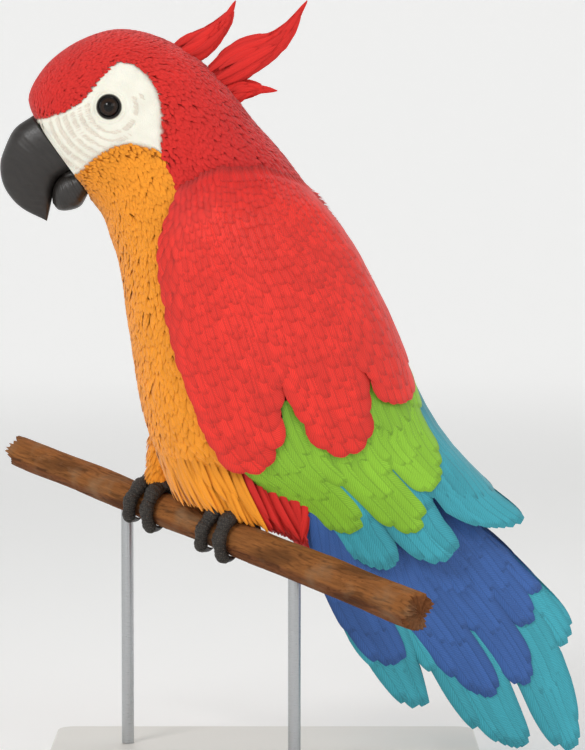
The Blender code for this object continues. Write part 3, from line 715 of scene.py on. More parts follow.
def shaded(tints, q, root=0.62, tip=1.0):
    """Colours from root to tip: painted shade at the root, where the feathers above cover it, full from the
    middle on, and a painted highlight at the tip where tip is above 1.
    """
    tone = root + (1 - root) * stepped(0.05, 0.6, q) + (tip - 1) * stepped(0.8, 1.0, q)
    return tints[:, None] * tone[None, :, None]


def varied(tints, amount):
    """Each feather a little lighter or darker than its neighbours."""
    return tints * (1 + amount * (2 * random.random(len(tints)) - 1))[:, None]


print("faces in a small vane:", len(LENS) * 4 + 2)

# %% [markdown]
# The barbs are what make a surface read as feather. Their lines leave the shaft at a slant, so their
# phase is the distance along the shaft minus the distance across it. Real barbs lie 0.3 mm apart, too
# fine to see from where the bird is looked at, so they are drawn about a millimetre apart. A paler
# shaft and a soft sheen finish the web.

# %% Plumage material
BARB_SLANT = 1.3


def make_plumage(name, barb_mm, contrast, sheen, roughness, shaft_tone):
    """Keratin web, index 1.54, matt along its barbs, with the soft edge light of a fibrous surface."""
    made, tree, shader = new_material(name, {
        "IOR": 1.54, "Roughness": roughness, "Sheen Weight": sheen, "Sheen Roughness": 0.45,
        "Specular IOR Level": 0.3})
    colour = add(tree, "Attribute", attribute_name="plumage")
    vane = add(tree, "Attribute", attribute_name="vane").outputs["Vector"]
    aside, along, shaft_half = add(tree, "SeparateXYZ", {0: vane}).outputs
    place = add(tree, "TexCoord").outputs["Object"]
    stray = add(tree, "TexNoise", {"Vector": place, "Scale": 1 / (6 * MM), "Detail": 2.0})
    cloud = add(tree, "TexNoise", {"Vector": place, "Scale": 1 / (38 * MM), "Detail": 3.0})
    # Barbs: a wave of the distance along the shaft less the slant times the distance from it.
    across = add(tree, "Math", {0: aside}, operation="ABSOLUTE")
    slip = add(tree, "Math", {0: across, 1: BARB_SLANT}, operation="MULTIPLY")
    slant = add(tree, "Math", {0: along, 1: slip}, operation="SUBTRACT")
    bent = add(tree, "Math", {0: stray, 1: 1.6 * barb_mm, 2: slant}, operation="MULTIPLY_ADD")
    phase = add(tree, "Math", {0: bent, 1: 2 * math.pi / barb_mm}, operation="MULTIPLY")
    wave = add(tree, "Math", {0: phase}, operation="SINE")
    lifted = add(tree, "Math", {0: wave, 1: 0.5, 2: 0.5}, operation="MULTIPLY_ADD")
    split = add(tree, "Math", {0: lifted, 1: 0.6}, operation="POWER")
    # The shaft: 1 on it, and 0 past its half width.
    core = add(tree, "Math", {0: shaft_half, 1: 0.35}, operation="MULTIPLY")
    shaft = add(tree, "MapRange", {"Value": across, "From Min": core, "From Max": shaft_half,
                                   "To Min": 1.0, "To Max": 0.0})
    patchy = add(tree, "Math", {0: cloud, 1: 0.24, 2: 0.88}, operation="MULTIPLY_ADD")
    barbs = add(tree, "Math", {0: split, 1: contrast, 2: 1 - 0.7 * contrast}, operation="MULTIPLY_ADD")
    tone = add(tree, "Math", {0: patchy, 1: barbs}, operation="MULTIPLY")
    webbed = add(tree, "VectorMath", {0: colour, "Scale": tone}, operation="SCALE")
    quill = add(tree, "VectorMath", {0: colour, "Scale": shaft_tone}, operation="SCALE")
    share = add(tree, "Math", {0: shaft, 1: 0.8}, operation="MULTIPLY")
    relief = add(tree, "Math", {0: shaft, 1: 1.2, 2: split}, operation="MULTIPLY_ADD")
    feed(shader, {
        "Base Color": add(tree, "Mix", {0: share, 6: webbed, 7: quill}, data_type="RGBA").outputs[2],
        "Normal": add(tree, "Bump", {"Height": relief, "Strength": 0.55, "Distance": 0.12 * barb_mm * MM})})
    return made


down = make_plumage("downy_contour_feather", 1.3, 0.22, 0.3, 0.72, 0.9)
web = make_plumage("stiff_feather_web", 2.3, 0.26, 0.15, 0.5, 0.74)

# %% [markdown]
# ## Contour feathers
#
# Feathers grow in rows across the body, each row half a step out of line with the last, and lie back
# from bill to tail like roof tiles. Rows are laid along the sections, with their spacing taken from the
# widest gap, and feathers are left out where the sections crowd together, at the throat. Each shaft
# then walks over the surface in small steps, so that long feathers bend round the body with it.

# %% Rows and shafts on the body
SPACING_SECTIONS = (0, 2, 4, 6.5, 9, 12, 15, 21)
SPACINGS = (1.5, 1.6, 1.8, 2.2, 2.8, 3.8, 4.8, 6.0)
# Shafts stop just short of the last section.
WALK_END = 21.9
WING_COVER = np.array([
    (-91, 466), (-62, 480), (-24, 481), (9, 470), (38, 431), (66, 383), (95, 320), (150, 250), (187, 212),
    (166, 203), (100, 190), (40, 205), (-26, 240), (-57, 273), (-84, 335), (-98, 383), (-103, 427),
])


def spacing(t):
    """The gap between feather roots in mm."""
    return np.interp(t, SPACING_SECTIONS, SPACINGS)


def speed(t, turn):
    """Millimetres for each section along the trunk."""
    step = 0.05
    gone = body_surface(TRUNK, t + step, turn) - body_surface(TRUNK, t - step, turn)
    return np.maximum(np.linalg.norm(gone, axis=-1) / (2 * step), 0.6)


def body_roots(first, last, even_gap=None):
    """Sections and turns of evenly spread feather roots. Rows follow each other at the pace of the
    fastest side of the body. Where it is slower, a place is kept only as the sum of the distance over
    the gap passes a whole number there."""
    t, row, found = first, 0, []
    turn = np.linspace(0, 2 * math.pi, 721)
    passed = random.random() * np.ones(turn.shape)
    while t < last:
        gap = even_gap or spacing(t)
        ring = body_surface(TRUNK, np.full(turn.shape, t), turn)
        girth = np.r_[0, np.cumsum(np.linalg.norm(np.diff(ring, axis=0), axis=1))]
        rate = speed(np.full(turn.shape, t), turn)
        step = gap / rate.max()
        before, passed = passed, passed + rate * step / gap
        count = int(girth[-1] / gap)
        at = (np.arange(count) + 0.5 * (row % 2) + 0.3 * random.random(count)) * girth[-1] / count
        turns = np.interp(at % girth[-1], girth, turn)
        shift = 0.25 * random.random(count)
        now, earlier = (np.floor(np.interp(turns, turn, total) + shift) for total in (passed, before))
        kept = now > earlier
        found.append(np.stack([t + step * 0.4 * (random.random(count) - 0.5), turns], axis=1)[kept])
        t += step
        row += 1
    return np.vstack(found)


def walked(t, turn, length, q, drift=0.0):
    """Sections reached from t after each share q of a length, in steps of the length over the speed."""
    reached = [t]
    for before, after in zip(q[:-1], q[1:]):
        for part in (0.25, 0.75):
            at = turn + drift * (before + part * (after - before))
            t = t + length * (after - before) / 2 / speed(t, at)
        reached.append(t)
    return np.stack(reached, axis=1)


def body_feathers(name, roots, rings, lift, section):
    """Contour feathers at their roots, from under the coat up to its surface at their tips."""
    t, turn = roots.T
    gap = spacing(t)
    place = body_surface(TRUNK, t, turn)
    near_face = stepped(-9, -1, depth_inside(FACE, side_view(place)))
    length = gap * 4.2 * (1 - 0.5 * near_face) * (0.8 + 0.4 * random.random(len(t)))
    q = vane_steps(rings)
    drift = 0.06 * random.standard_normal(len(t)) * gap / 5
    reached = walked(t, turn, length, q, drift)
    turns = turn[:, None] + drift[:, None] * q
    point, out = outward(body_surface, TRUNK, np.minimum(reached, WALK_END), turns)
    depth = coat_depth(t) * (1 - 0.55 * near_face)
    high = gap * (0.10 * random.random(len(t)) - 0.03) + lift
    rise = -0.8 * depth[:, None] * (1 - q) ** 2 + high[:, None] * q**2
    tints = varied(markings(point[:, rings // 2]), 0.07)
    return vanes(name, point + out * rise[..., None], out, gap * 1.45 * (1 - 0.2 * near_face),
                 shaded(tints, q, root=0.84, tip=1.04), coat_places(t, turn), down, "red_plumage", q,
                 section=section, thick=0.03 * gap + 0.05, arch=0.16, base=0.5, widest=0.55, blunt=0.3,
                 fray=0.45)


def uncovered(roots):
    """Roots outside the bare face and not deep under a closed wing."""
    place = side_view(body_surface(TRUNK, roots[:, 0], roots[:, 1]))
    return roots[(depth_inside(FACE, place) < 0.3) & (depth_inside(WING_COVER, place) < 18)]


def mantle_lift(roots):
    """Extra height for the tips beside the shoulder, which lie over the wing's first rows, and for
    those along the spine, which close the seam between the wings."""
    place = side_view(body_surface(TRUNK, roots[:, 0], roots[:, 1]))
    deep = depth_inside(WING_COVER, place)
    shoulder = (3.4 + 0.3 * np.clip(deep, 0, 14)) * stepped(-12, -2, deep) * stepped(410, 450, place[:, 1])
    from_spine = np.abs((roots[:, 1] + math.pi) % (2 * math.pi) - math.pi)
    spine = 4.6 * stepped(0.36, 0.1, from_spine) * stepped(-12, -2, deep) * stepped(350, 395, place[:, 1])
    return np.maximum(shoulder, spine)


# %% Feathers of the head, neck and body
coat = uncovered(body_roots(0.12, 20.6))
on_left = coat[:, 1] % (2 * math.pi) < math.pi
for name, first, last, rings, section in (("head", 0, 6.2, 5, LENS), ("neck", 6.2, 10, 6, ARCH),
                                          ("body", 10, 22, 7, ARCH)):
    for side, half in (("left", on_left), ("right", ~on_left)):
        roots = coat[(coat[:, 0] >= first) & (coat[:, 0] < last) & half]
        told(body_feathers(f"feathers_{name}_{side}", roots, rings, mantle_lift(roots), section))

# %% [markdown]
# The bare face isn't quite bare. A macaw has a few rows of tiny bristle feathers there, which run in
# arcs under the eye. They are a slightly darker cream than the face, partly their own colour and partly
# painted shade that lets their fine relief show.

# %% Bristles of the face
BRISTLE_ROWS = 6.2
FIRST_BRISTLES = 19.5


def face_bristles():
    """Tiny vanes where the distance from the eye is near the first row's plus a whole number of gaps."""
    roots = body_roots(0.1, 6.2, even_gap=1.0)
    place = side_view(body_surface(TRUNK, roots[:, 0], roots[:, 1]))
    x, z = place[:, 0] - EYE[0], place[:, 1] - EYE[2]
    r = np.hypot(x, z)
    in_row = np.abs((r - FIRST_BRISTLES + BRISTLE_ROWS / 2) % BRISTLE_ROWS - BRISTLE_ROWS / 2) < 0.5
    kept = in_row & (r > 17) & (z < 6 + 0.2 * x) & (depth_inside(FACE, place) > 3.5)
    t, turn = roots[kept].T
    q = vane_steps(4)
    reached = walked(t, turn, np.full(len(t), 4.2), q)
    point, out = outward(body_surface, TRUNK, reached, turn[:, None] + 0 * q)
    tints = varied(np.broadcast_to(linear("#f0e6d6"), (len(t), 3)), 0.06)
    shaft = point + out * (-0.45 + 0.5 * q)[:, None]
    return vanes("feathers_face_bristles", shaft, out, np.full(len(t), 1.0), shaded(tints, q, root=1.0),
                 coat_places(t, turn), down, "red_plumage", q, thick=0.16, arch=0.1, rim_shade=0.0)


told(face_bristles())

# %% [markdown]
# ## The closed wing
#
# On a folded wing the feathers lie in tracts: short red coverts from the shoulder down, then longer
# green ones, then the long teal quills. Each tract here is a patch stretched between four edges on the
# body's surface: its hidden root, its front, the spine, and an edge of rounded lobes where the tips
# are. A feather's shaft runs down a line of the patch, so the whole tract fans out as its edges do.

# %% Tracts of the wing
SHOULDER_LINE = [(-91, 466), (-62, 480), (-24, 481), (9, 470)]
COVERT_EDGE = [(-57, 273), (-22, 254), (-12, 312), (46, 264), (46, 325), (82, 300), (87, 333)]
LEADING_EDGE = [(-103, 427), (-98, 383), (-84, 335)]
SPINE_LINE = [(38, 431), (66, 383)]
GREEN_ROOT = [(-48, 300), (4, 340), (52, 362), (78, 366)]
GREEN_EDGE = [(-54, 266), (40, 201), (29, 248), (96, 201), (78, 256), (113, 240), (92, 312)]
QUILL_ROOT = [(-38, 262), (8, 282), (68, 318), (85, 346)]
QUILL_EDGE = [(-26, 240), (62, 173), (69, 201), (119, 177), (122, 214), (166, 203), (187, 212)]
QUILL_SPINE = [(100, 312), (120, 276), (155, 236)]
SPINE_TURN = 0.03
EASE_TURN = 0.06
TRACT_ROWS = 40
LOBE_STEPS = 24
LOBE_POWER = 2.4
LOBE_PINCH = 0.34
ARM_RISE = 8.0


def scallops(points):
    """An edge of rounded lobes, from notch, tip, notch, tip ... notch: the line between two notches,
    pushed towards the tip by a hump of 1 - |2q - 1| to the lobes' power."""
    points = np.asarray(points, float)
    edge = []
    for i in range(0, len(points) - 2, 2):
        left, tip, right = points[i : i + 3]
        q = np.arange(LOBE_STEPS)[:, None] / LOBE_STEPS
        hump = 1 - np.abs(2 * q - 1) ** LOBE_POWER
        edge.append(left + q * (right - left) + hump * (tip - (left + right) / 2))
    return np.vstack([*edge, points[-1:]])


def locate(rows, point, first, half_turn):
    """Section and turn at which a surface is seen from the side at a point: the section whose line
    passes nearest, and the turn whose share of that line it lies at."""
    t = np.linspace(first, len(rows) - 1, 60 * len(rows))
    top_x, top_z, low_x, low_z, _ = smooth(rows, t).T
    dx = low_x - top_x
    dz = low_z - top_z
    square = dx * dx + dz * dz
    share = ((point[0] - top_x) * dx + (point[1] - top_z) * dz) / square
    off = np.abs(dx * (point[1] - top_z) - dz * (point[0] - top_x)) / np.sqrt(square)
    off += 500 * np.clip(np.abs(share - 0.5) - 0.53, 0, None)
    best = np.argmin(off)
    sweep = math.acos(1 - min(abs(share[best]), 1) * (1 - math.cos(half_turn)))
    return t[best], math.copysign(sweep, share[best])


def on_body(point):
    """Section and turn of a point drawn on the closed wing."""
    return locate(BODY, point, 8.0, math.pi)


def patch(top, bottom, front, back):
    """A Coons patch: the blend of top and bottom, plus the blend of front and back, minus the blend of
    the four corners."""
    s = np.linspace(0, 1, len(front))[:, None, None]
    v = np.linspace(0, 1, len(top))[None, :, None]
    ruled = (1 - s) * top[None] + s * bottom[None] + (1 - v) * front[:, None] + v * back[:, None]
    corners = (1 - s) * ((1 - v) * top[0] + v * top[-1]) + s * ((1 - v) * bottom[0] + v * bottom[-1])
    return ruled - corners


def tract(root, edge, front, spine):
    """The sections and turns of a wing tract, as a grid from its root to its lobed edge."""
    bottom = np.array([on_body(p) for p in scallops(edge)])
    top = np.array([on_body(p) for p in along_points(root, len(bottom))])
    lead = np.array([on_body(p) for p in along_points([root[0], *front, edge[0]], TRACT_ROWS)])
    trail = np.array([on_body(p) for p in along_points([root[-1], *spine, edge[-1]], TRACT_ROWS)])
    grid = patch(top, bottom, lead, trail)
    grid[..., 1] = SPINE_TURN + EASE_TURN * np.log1p(np.exp((grid[..., 1] - SPINE_TURN) / EASE_TURN))
    return grid


def read_grid(grid, s, v):
    """A grid's values at shares s down and v across, blended between its four nearest points."""
    rows, columns, _ = grid.shape
    a = np.clip(np.asarray(s, float), 0, 1) * (rows - 1)
    b = np.clip(np.asarray(v, float), 0, 1) * (columns - 1)
    i = np.minimum(a.astype(int), rows - 2)
    j = np.minimum(b.astype(int), columns - 2)
    f, g = (a - i)[..., None], (b - j)[..., None]
    return ((1 - f) * ((1 - g) * grid[i, j] + g * grid[i, j + 1])
            + f * ((1 - g) * grid[i + 1, j] + g * grid[i + 1, j + 1]))


def covert_lift(s, v):
    """Height of the red coverts over the body: a base that rises as they pass over the quills, plus
    the swell of the folded arm, which is a bell down the wing and dies away at its rim."""
    rim = np.clip(s / 0.15, 0, 1) * np.clip(v / 0.12, 0, 1) * np.clip((1 - v) / 0.12, 0, 1)
    arm = ARM_RISE * np.exp(-(((s - 0.25) / 0.3) ** 2)) * np.sqrt(rim)
    return 2.0 + 2.6 * np.clip((s - 0.45) / 0.25, 0, 1) + arm


def tract_points(surface, rows, grid, lift, s, v):
    """Points over a tract and their outward normals."""
    at = read_grid(grid, s, v)
    point, out = outward(surface, rows, at[..., 0], at[..., 1])
    return point + out * np.asarray(lift(s, v))[..., None], out


def row_places(surface, rows, grid, lift, s, gap, step):
    """Places across a tract about a gap apart, shifted by a share of a step."""
    v = np.linspace(0, 1, 400)
    line, _ = tract_points(surface, rows, grid, lift, np.full(v.shape, s), v)
    length = np.r_[0, np.cumsum(np.linalg.norm(np.diff(line, axis=0), axis=1))]
    count = max(3, round(length[-1] / gap))
    wanted = (np.arange(count) + 0.25 + 0.5 * step) / count
    return np.interp(wanted * length[-1], length, v)


def pinched(s, v, lobes):
    """Places across, drawn towards the middle of their own lobe, from nothing half way down. The draw
    fades with 1 - |off| to the lobes' power towards the notches, as the lobe's own length does."""
    lobe = np.floor(np.clip(v, 0, 0.9999) * lobes)
    off = 2 * (v * lobes - lobe) - 1
    return v - off / (2 * lobes) * LOBE_PINCH * stepped(0.5, 1.0, s) * (1 - np.abs(off) ** LOBE_POWER)


def tract_shafts(surface, rows, grid, lift, tip, v, length, q, raise_tip):
    """Shafts that end at a share down the tract and begin their length above it."""
    probe = np.linspace(0, 1, 30)
    line, _ = tract_points(surface, rows, grid, lift, *np.meshgrid(probe, v, indexing="ij"))
    whole = np.linalg.norm(np.diff(line, axis=0), axis=-1).sum(axis=0)
    root = tip - length / whole
    s = root[:, None] + (tip - root)[:, None] * q / q[-1]
    lobes = (grid.shape[1] - 1) // LOBE_STEPS
    across = pinched(s, v[:, None] + 0 * q, lobes)
    at = read_grid(grid, s, across)
    # Above the tract's root the shaft runs on along the grid's first slope.
    slope = read_grid(grid, np.full(s.shape, 0.05), across) - read_grid(grid, np.zeros(s.shape), across)
    at = at + np.minimum(s, 0)[..., None] * slope / 0.05
    point, out = outward(surface, rows, at[..., 0], at[..., 1])
    high = lift(np.clip(s, 0, 1), across) + raise_tip * q
    return point + out * high[..., None], out, at


def both_sides(name, shaft, out, width, colours, places, look, slot, q, tilt=0.0, **shape):
    """The same feathers on the left and, mirrored, on the right."""
    made = []
    for side, sign in (("left", 1), ("right", -1)):
        flip = np.array((1, sign, 1))
        made.append(vanes(f"{name}_{side}", shaft * flip, out * flip, width, colours, places, look, slot, q,
                          tilt=sign * np.asarray(tilt), **shape))
    return made


# %% [markdown]
# ### Red coverts
#
# Coverts are small and round at the shoulder and grow longer down the wing. The last row ends on the
# lobed edge itself. The front of each feather lies over its neighbour, so each vane is tilted a little.

# %% Lay the coverts
def lobe_places(surface, rows, grid, lift, gap, step, margin=0.09):
    """Places across a tract, evenly within each lobe and about a gap apart along its edge."""
    lobes = (grid.shape[1] - 1) // LOBE_STEPS
    notch, _ = tract_points(surface, rows, grid, lift, np.ones(lobes + 1), np.arange(lobes + 1) / lobes)
    found = []
    for lobe, wide in enumerate(np.linalg.norm(np.diff(notch, axis=0), axis=1)):
        count = max(3, round(wide / gap)) + step
        inside = margin + (1 - 2 * margin) * (np.arange(count) + 0.5) / count
        found.append((lobe + inside) / lobes)
    return np.concatenate(found)


def covert_rows():
    """Tip, length, width and gap of each row: they grow smoothly from the shoulder to the edge."""
    tips, tip = [], 0.03
    while tip < 0.985:
        tips.append(tip)
        tip += 0.026 + 0.036 * tip
    tips = np.array(tips) / tips[-1]
    length = np.interp(tips, (0, 0.3, 0.7, 1), (15, 23, 34, 44))
    return zip(tips, length, length * 0.56, length * 0.32)


def wing_places(roots):
    """Places on the bake map for the roots of one half of the body or the tail."""
    last = len(BODY) - 1
    return np.stack([0.02 + 0.96 * (roots[:, 1] % math.pi) / math.pi, 0.9 * roots[:, 0] / last], axis=1)


def lay_coverts():
    """The rows of red coverts on both wings, from the shoulder to the lobed edge."""
    grid = tract(SHOULDER_LINE, COVERT_EDGE, LEADING_EDGE, SPINE_LINE)
    q = vane_steps(8, 0.66)
    laid = []
    for row, (tip, length, width, gap) in enumerate(covert_rows()):
        if tip > 0.999:
            v = lobe_places(body_surface, BODY, grid, covert_lift, gap, 0)
        else:
            v = row_places(body_surface, BODY, grid, covert_lift, tip, gap, row % 2)
        v = np.clip(v + 0.1 / len(v) * random.standard_normal(len(v)), 0.002, 0.998)
        lengths = length * (0.94 + 0.12 * random.random(len(v)))
        ends = np.full(len(v), tip)
        if row > 0 and tip <= 0.999:
            ends = tip + 0.006 * random.standard_normal(len(v))
        # Beside the spine the feathers lie flat, so that the two wings meet in one smooth back.
        flat = 1 - 0.8 * stepped(0.82, 0.97, v)
        shaft, out, at = tract_shafts(body_surface, BODY, grid, covert_lift, ends, v, lengths, q,
                                      (0.9 + 0.022 * length) * flat[:, None])
        widths = width * (0.92 + 0.16 * random.random(len(v)))
        laid.append((shaft, out, widths, np.full(len(v), tip), at[:, 0], -0.08 * flat))
    shafts, outs, widths, tips, roots, tilts = map(np.concatenate, zip(*laid))
    tints = RED + stepped(0.0, 0.25, tips)[:, None] * (WING_RED - RED)
    return both_sides("coverts", shafts, outs, widths, shaded(varied(tints, 0.09), q, root=0.62, tip=1.05),
                      wing_places(roots), web, "red_plumage", q, tilt=tilts, section=ARCH, thick=0.35,
                      arch=0.16, widest=0.62, base=0.45, rim_shade=0.2)


for piece in lay_coverts():
    side = piece.name.split("_")[-1]
    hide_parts("wing_" + side)
    told(piece)

# %% [markdown]
# ### Green coverts and teal quills
#
# The longer feathers show as broad lobes, each a group of four to six whose tips follow its outline. The
# ones nearer the spine lie over the ones below them. Between two groups the notch is left open.

# %% Lay the green and teal rows
def lay_rows(name, surface, rows, grid, lift, rows_of, slot, tilt, raise_tip, rings=12, **shape):
    """Rows of long feathers. Each row gives its tip, its gap across, length, width and colour."""
    q = vane_steps(rings, 0.84)
    laid = []
    for row, (tip, gap, length, width, tint) in enumerate(rows_of):
        v = lobe_places(surface, rows, grid, lift, gap, row % 2, margin=0.09 if row == 0 else 0.02)
        v = v + 0.06 / len(v) * random.standard_normal(len(v))
        lengths = length * (0.97 + 0.06 * random.random(len(v)))
        flat = 1 - 0.9 * stepped(0.84, 0.97, v) * (surface is body_surface)
        shaft, out, at = tract_shafts(surface, rows, grid, lift, np.full(len(v), tip), v, lengths, q,
                                      raise_tip * flat[:, None])
        widths = width * (0.95 + 0.1 * random.random(len(v)))
        laid.append((shaft, out, widths, at[:, 0], np.broadcast_to(tint, (len(v), 3)), tilt * flat))
    shafts, outs, widths, roots, tints, tilts = map(np.concatenate, zip(*laid))
    colours = shaded(varied(tints, 0.08), q, root=0.7, tip=1.05)
    return both_sides(name, shafts, outs, widths, colours, wing_places(roots), web, slot, q, tilt=tilts,
                      section=ARCH, widest=0.84, rim_shade=0.24, **shape)


def sloped(base, slope):
    """A lift of the base in mm at a tract's root, growing by the slope to its edge."""
    return lambda s, v: base + slope * s + 0 * v


quill_grid = tract(QUILL_ROOT, QUILL_EDGE, [], QUILL_SPINE)
green_grid = tract(GREEN_ROOT, GREEN_EDGE, [], [])
quills = lay_rows("quills", body_surface, BODY, quill_grid, sloped(0.8, 0.6),
                  [(1.0, 13, 150, 20, TEAL), (0.8, 13, 125, 20, TEAL * 0.96)], "teal_plumage",
                  tilt=-0.09, raise_tip=0.5, thick=0.5, arch=0.12, base=0.6)
for piece in quills:
    side = piece.name.split("_")[-1]
    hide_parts("flight_feathers_" + side)
lay_rows("green_coverts", body_surface, BODY, green_grid, sloped(2.1, 0.5),
         [(1.0, 12, 80, 19, GREEN), (0.8, 12, 66, 19, GREEN), (0.58, 12, 50, 18, GREEN * 0.95)],
         "teal_plumage", tilt=-0.08, raise_tip=0.6, thick=0.45, arch=0.14, base=0.6)

# %% [markdown]
# ### Tail
#
# A macaw's tail is a long stepped fan, arched like a roof. The teal feathers are its longest, and blue
# coverts lie over them in groups.

# %% Lay the tail
# Notch, tip, notch ... from the ridge to the lower edge, as sections of the tail and degrees of turn.
TAIL_EDGE = [(4.6, 0), (5.45, 20), (5.7, 33), (8.2, 45), (6.7, 59), (7.7, 69), (5.55, 80), (6.05, 86),
             (4.9, 90)]
BLUE_EDGE = [(2.6, 0), (3.9, 12), (3.2, 24), (4.7, 34), (3.9, 42), (6.25, 50), (5.0, 58), (6.25, 66),
             (3.7, 75), (4.6, 84), (3.4, 90)]
TAIL_FIRST = 0.6


def tail_tract(edge, first):
    """The left half of the tail from its root to a lobed edge, in sections and turns."""
    bottom = scallops(edge) * (1, math.radians(1))
    top = np.stack([np.full(len(bottom), first), np.linspace(0, math.pi / 2, len(bottom))], axis=1)
    share = np.linspace(0, 1, TRACT_ROWS)[:, None]
    front = top[0] + share * (bottom[0] - top[0])
    back = top[-1] + share * (bottom[-1] - top[-1])
    return patch(top, bottom, front, back)


rectrices = lay_rows("tail_quills", tail_surface, TAIL, tail_tract(TAIL_EDGE, TAIL_FIRST), sloped(0.3, 0),
                     [(1.0, 11, 190, 17, TEAL), (0.8, 11, 120, 16, TEAL)], "teal_plumage",
                     tilt=0.1, raise_tip=0.5, rings=14, thick=0.5, arch=0.12, base=0.6)
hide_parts("tail")
lay_rows("tail_coverts", tail_surface, TAIL, tail_tract(BLUE_EDGE, 0.0), sloped(1.5, 0.4),
         [(1.0, 10, 110, 15, BLUE), (0.74, 10, 70, 15, BLUE), (0.48, 10, 46, 14, BLUE)], "teal_plumage",
         tilt=0.08, raise_tip=0.6, thick=0.45, arch=0.14, base=0.6)

# %% [markdown]
# The rump's feathers bridge the step from the body to the root of the tail, under the closed wings. They
# show as a blue ground in the notches between the quills and between the two wings.

# %% Cover the rump
def bezier(start, bend, tip, q):
    """Bezier curves of degree two: (1 - q) squared times the start, plus 2 q (1 - q) times the bend,
    plus q squared times the tip."""
    near, middle, far = ((1 - q) ** 2)[:, None], (2 * q * (1 - q))[:, None], (q**2)[:, None]
    return near * start[:, None] + middle * bend[:, None] + far * tip[:, None]


def rump_feathers():
    """Rows of feathers from the trunk's back to the tail's ridge, each with its middle lifted off the
    line between its ends."""
    row_count, across_count = 9, 19
    row = np.repeat(np.arange(row_count), across_count)
    turn = np.tile(np.linspace(-80, 80, across_count), row_count) + 4 * (row % 2)
    turn = np.radians(turn + random.standard_normal(row.size))
    root_at, root_out = outward(body_surface, TRUNK, 15.6 + 0.42 * row, turn)
    tip_at, tip_out = outward(tail_surface, TAIL, 0.35 * row, turn * 1.05)
    start = root_at - 4.0 * root_out
    tip = tip_at + 1.6 * tip_out
    hump = 4.0 * stepped(0, 5, row)
    bend = (start + tip) / 2 + hump[:, None] * (root_out + tip_out) / 2
    q = vane_steps(9, 0.7)
    shaft = bezier(start, bend, tip, q)
    out = unit(root_out[:, None] + q[:, None] * (tip_out - root_out)[:, None])
    places = np.stack([0.5 + turn / (2 * math.pi) * 0.9, 0.66 + 0.02 * row], axis=1)
    tints = varied(np.broadcast_to(BLUE, (row.size, 3)), 0.08)
    return vanes("feathers_rump", shaft, out, np.full(row.size, 15.0), shaded(tints, q, root=0.8), places,
                 web, "teal_plumage", q, section=ARCH, thick=0.4, base=0.6, widest=0.7)


told(rump_feathers())

# %% [markdown]
# ## Crest
#
# The crest is three sprays of long narrow feathers that lift from the crown and nape and curve up to a
# point. Each feather keeps its own place across the spray, and all draw together as the spray tapers.

# %% Raise the crest
GOLDEN_ANGLE = 2.39996
# Path x and z, half height, half thickness.
CREST = (
    ((-104, 572, 14, 10), (-76, 586, 11, 8), (-57, 603, 6.5, 5), (-48, 620, 0.8, 0.8)),
    ((-76, 553, 18, 11), (-44, 573, 15, 9), (-13, 590, 9, 5), (9, 620, 0.8, 0.8)),
    ((-64, 537, 12, 9), (-45, 549, 8, 6), (-29, 550, 5, 3.5), (-15, 549, 0.8, 0.8)),
)


def spray(plume, count, q):
    """Shafts and outward faces of one spray. A feather at (a, b) of the unit disc runs along the path
    at a times its half height and b times its half thickness, for its own share of the length."""
    path = along_points(plume, 80)
    angle = GOLDEN_ANGLE * np.arange(count)
    radius = np.sqrt((np.arange(count) + 0.5) / count) * 0.95
    a, b = radius * np.cos(angle), radius * np.sin(angle)
    reach = np.clip(0.55 + 0.45 * (1 - radius) + 0.1 * random.standard_normal(count), 0.4, 1)
    reach[:6] = 1.0
    start = 0.35 * random.random(count)
    u = (start[:, None] + (reach - start)[:, None] * q / q[-1]) * 79
    i = np.minimum(u.astype(int), 78)
    at = path[i] + (u - i)[..., None] * (path[i + 1] - path[i])
    ahead = unit(path[np.minimum(i + 1, 79), :2] - path[i, :2])
    high = a[:, None] * at[..., 2] * (0.55 + 0.45 * stepped(0, 0.4, u / 79))
    x = at[..., 0] - ahead[..., 1] * high
    z = at[..., 1] + ahead[..., 0] * high
    y = b[:, None] * at[..., 3] + 0 * x
    side = np.where(b < 0, -1.0, 1.0)[:, None]
    out = unit(np.stack([-0.35 * a[:, None] * ahead[..., 1], side + 0 * x,
                         0.35 * a[:, None] * ahead[..., 0]], axis=-1))
    return np.stack([x, y, z], axis=-1), out


def lay_crest():
    """The three sprays, from the crown back, with their numbers of feathers and their widths."""
    q = vane_steps(10, 0.4)
    for number, (plume, count, width) in enumerate(zip(CREST, (70, 90, 46), (5.2, 6.0, 4.6)), 1):
        shaft, out = spray(plume, count, q)
        tints = varied(np.broadcast_to(RED, (count, 3)), 0.08)
        column, row = np.arange(count) % 8, np.arange(count) // 8
        places = np.stack([0.1 + 0.8 * column / 8, 0.1 + 0.8 * row / 8], axis=1)
        piece = vanes(f"crest_spray_{number}", shaft, out, np.full(count, width), shaded(tints, q, root=0.8),
                      places, down, "red_plumage", q, section=ARCH, thick=0.35, arch=0.12, widest=0.45,
                      base=0.3, blunt=0.1, fray=0.5)
        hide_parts(f"crest_{number}")


lay_crest()

# %% [markdown]
# ## Bill
#
# A macaw's bill is bone under a thin coat of black horn, smooth but for faint growth lines that run
# round it, and a little dull where it wears. Both halves are lofts through a few sections, with a
# fuller side than an ellipse has: the sine of the turn is raised to a power below one. The lower half
# stops behind the hook, and a thin line stays open between the two.

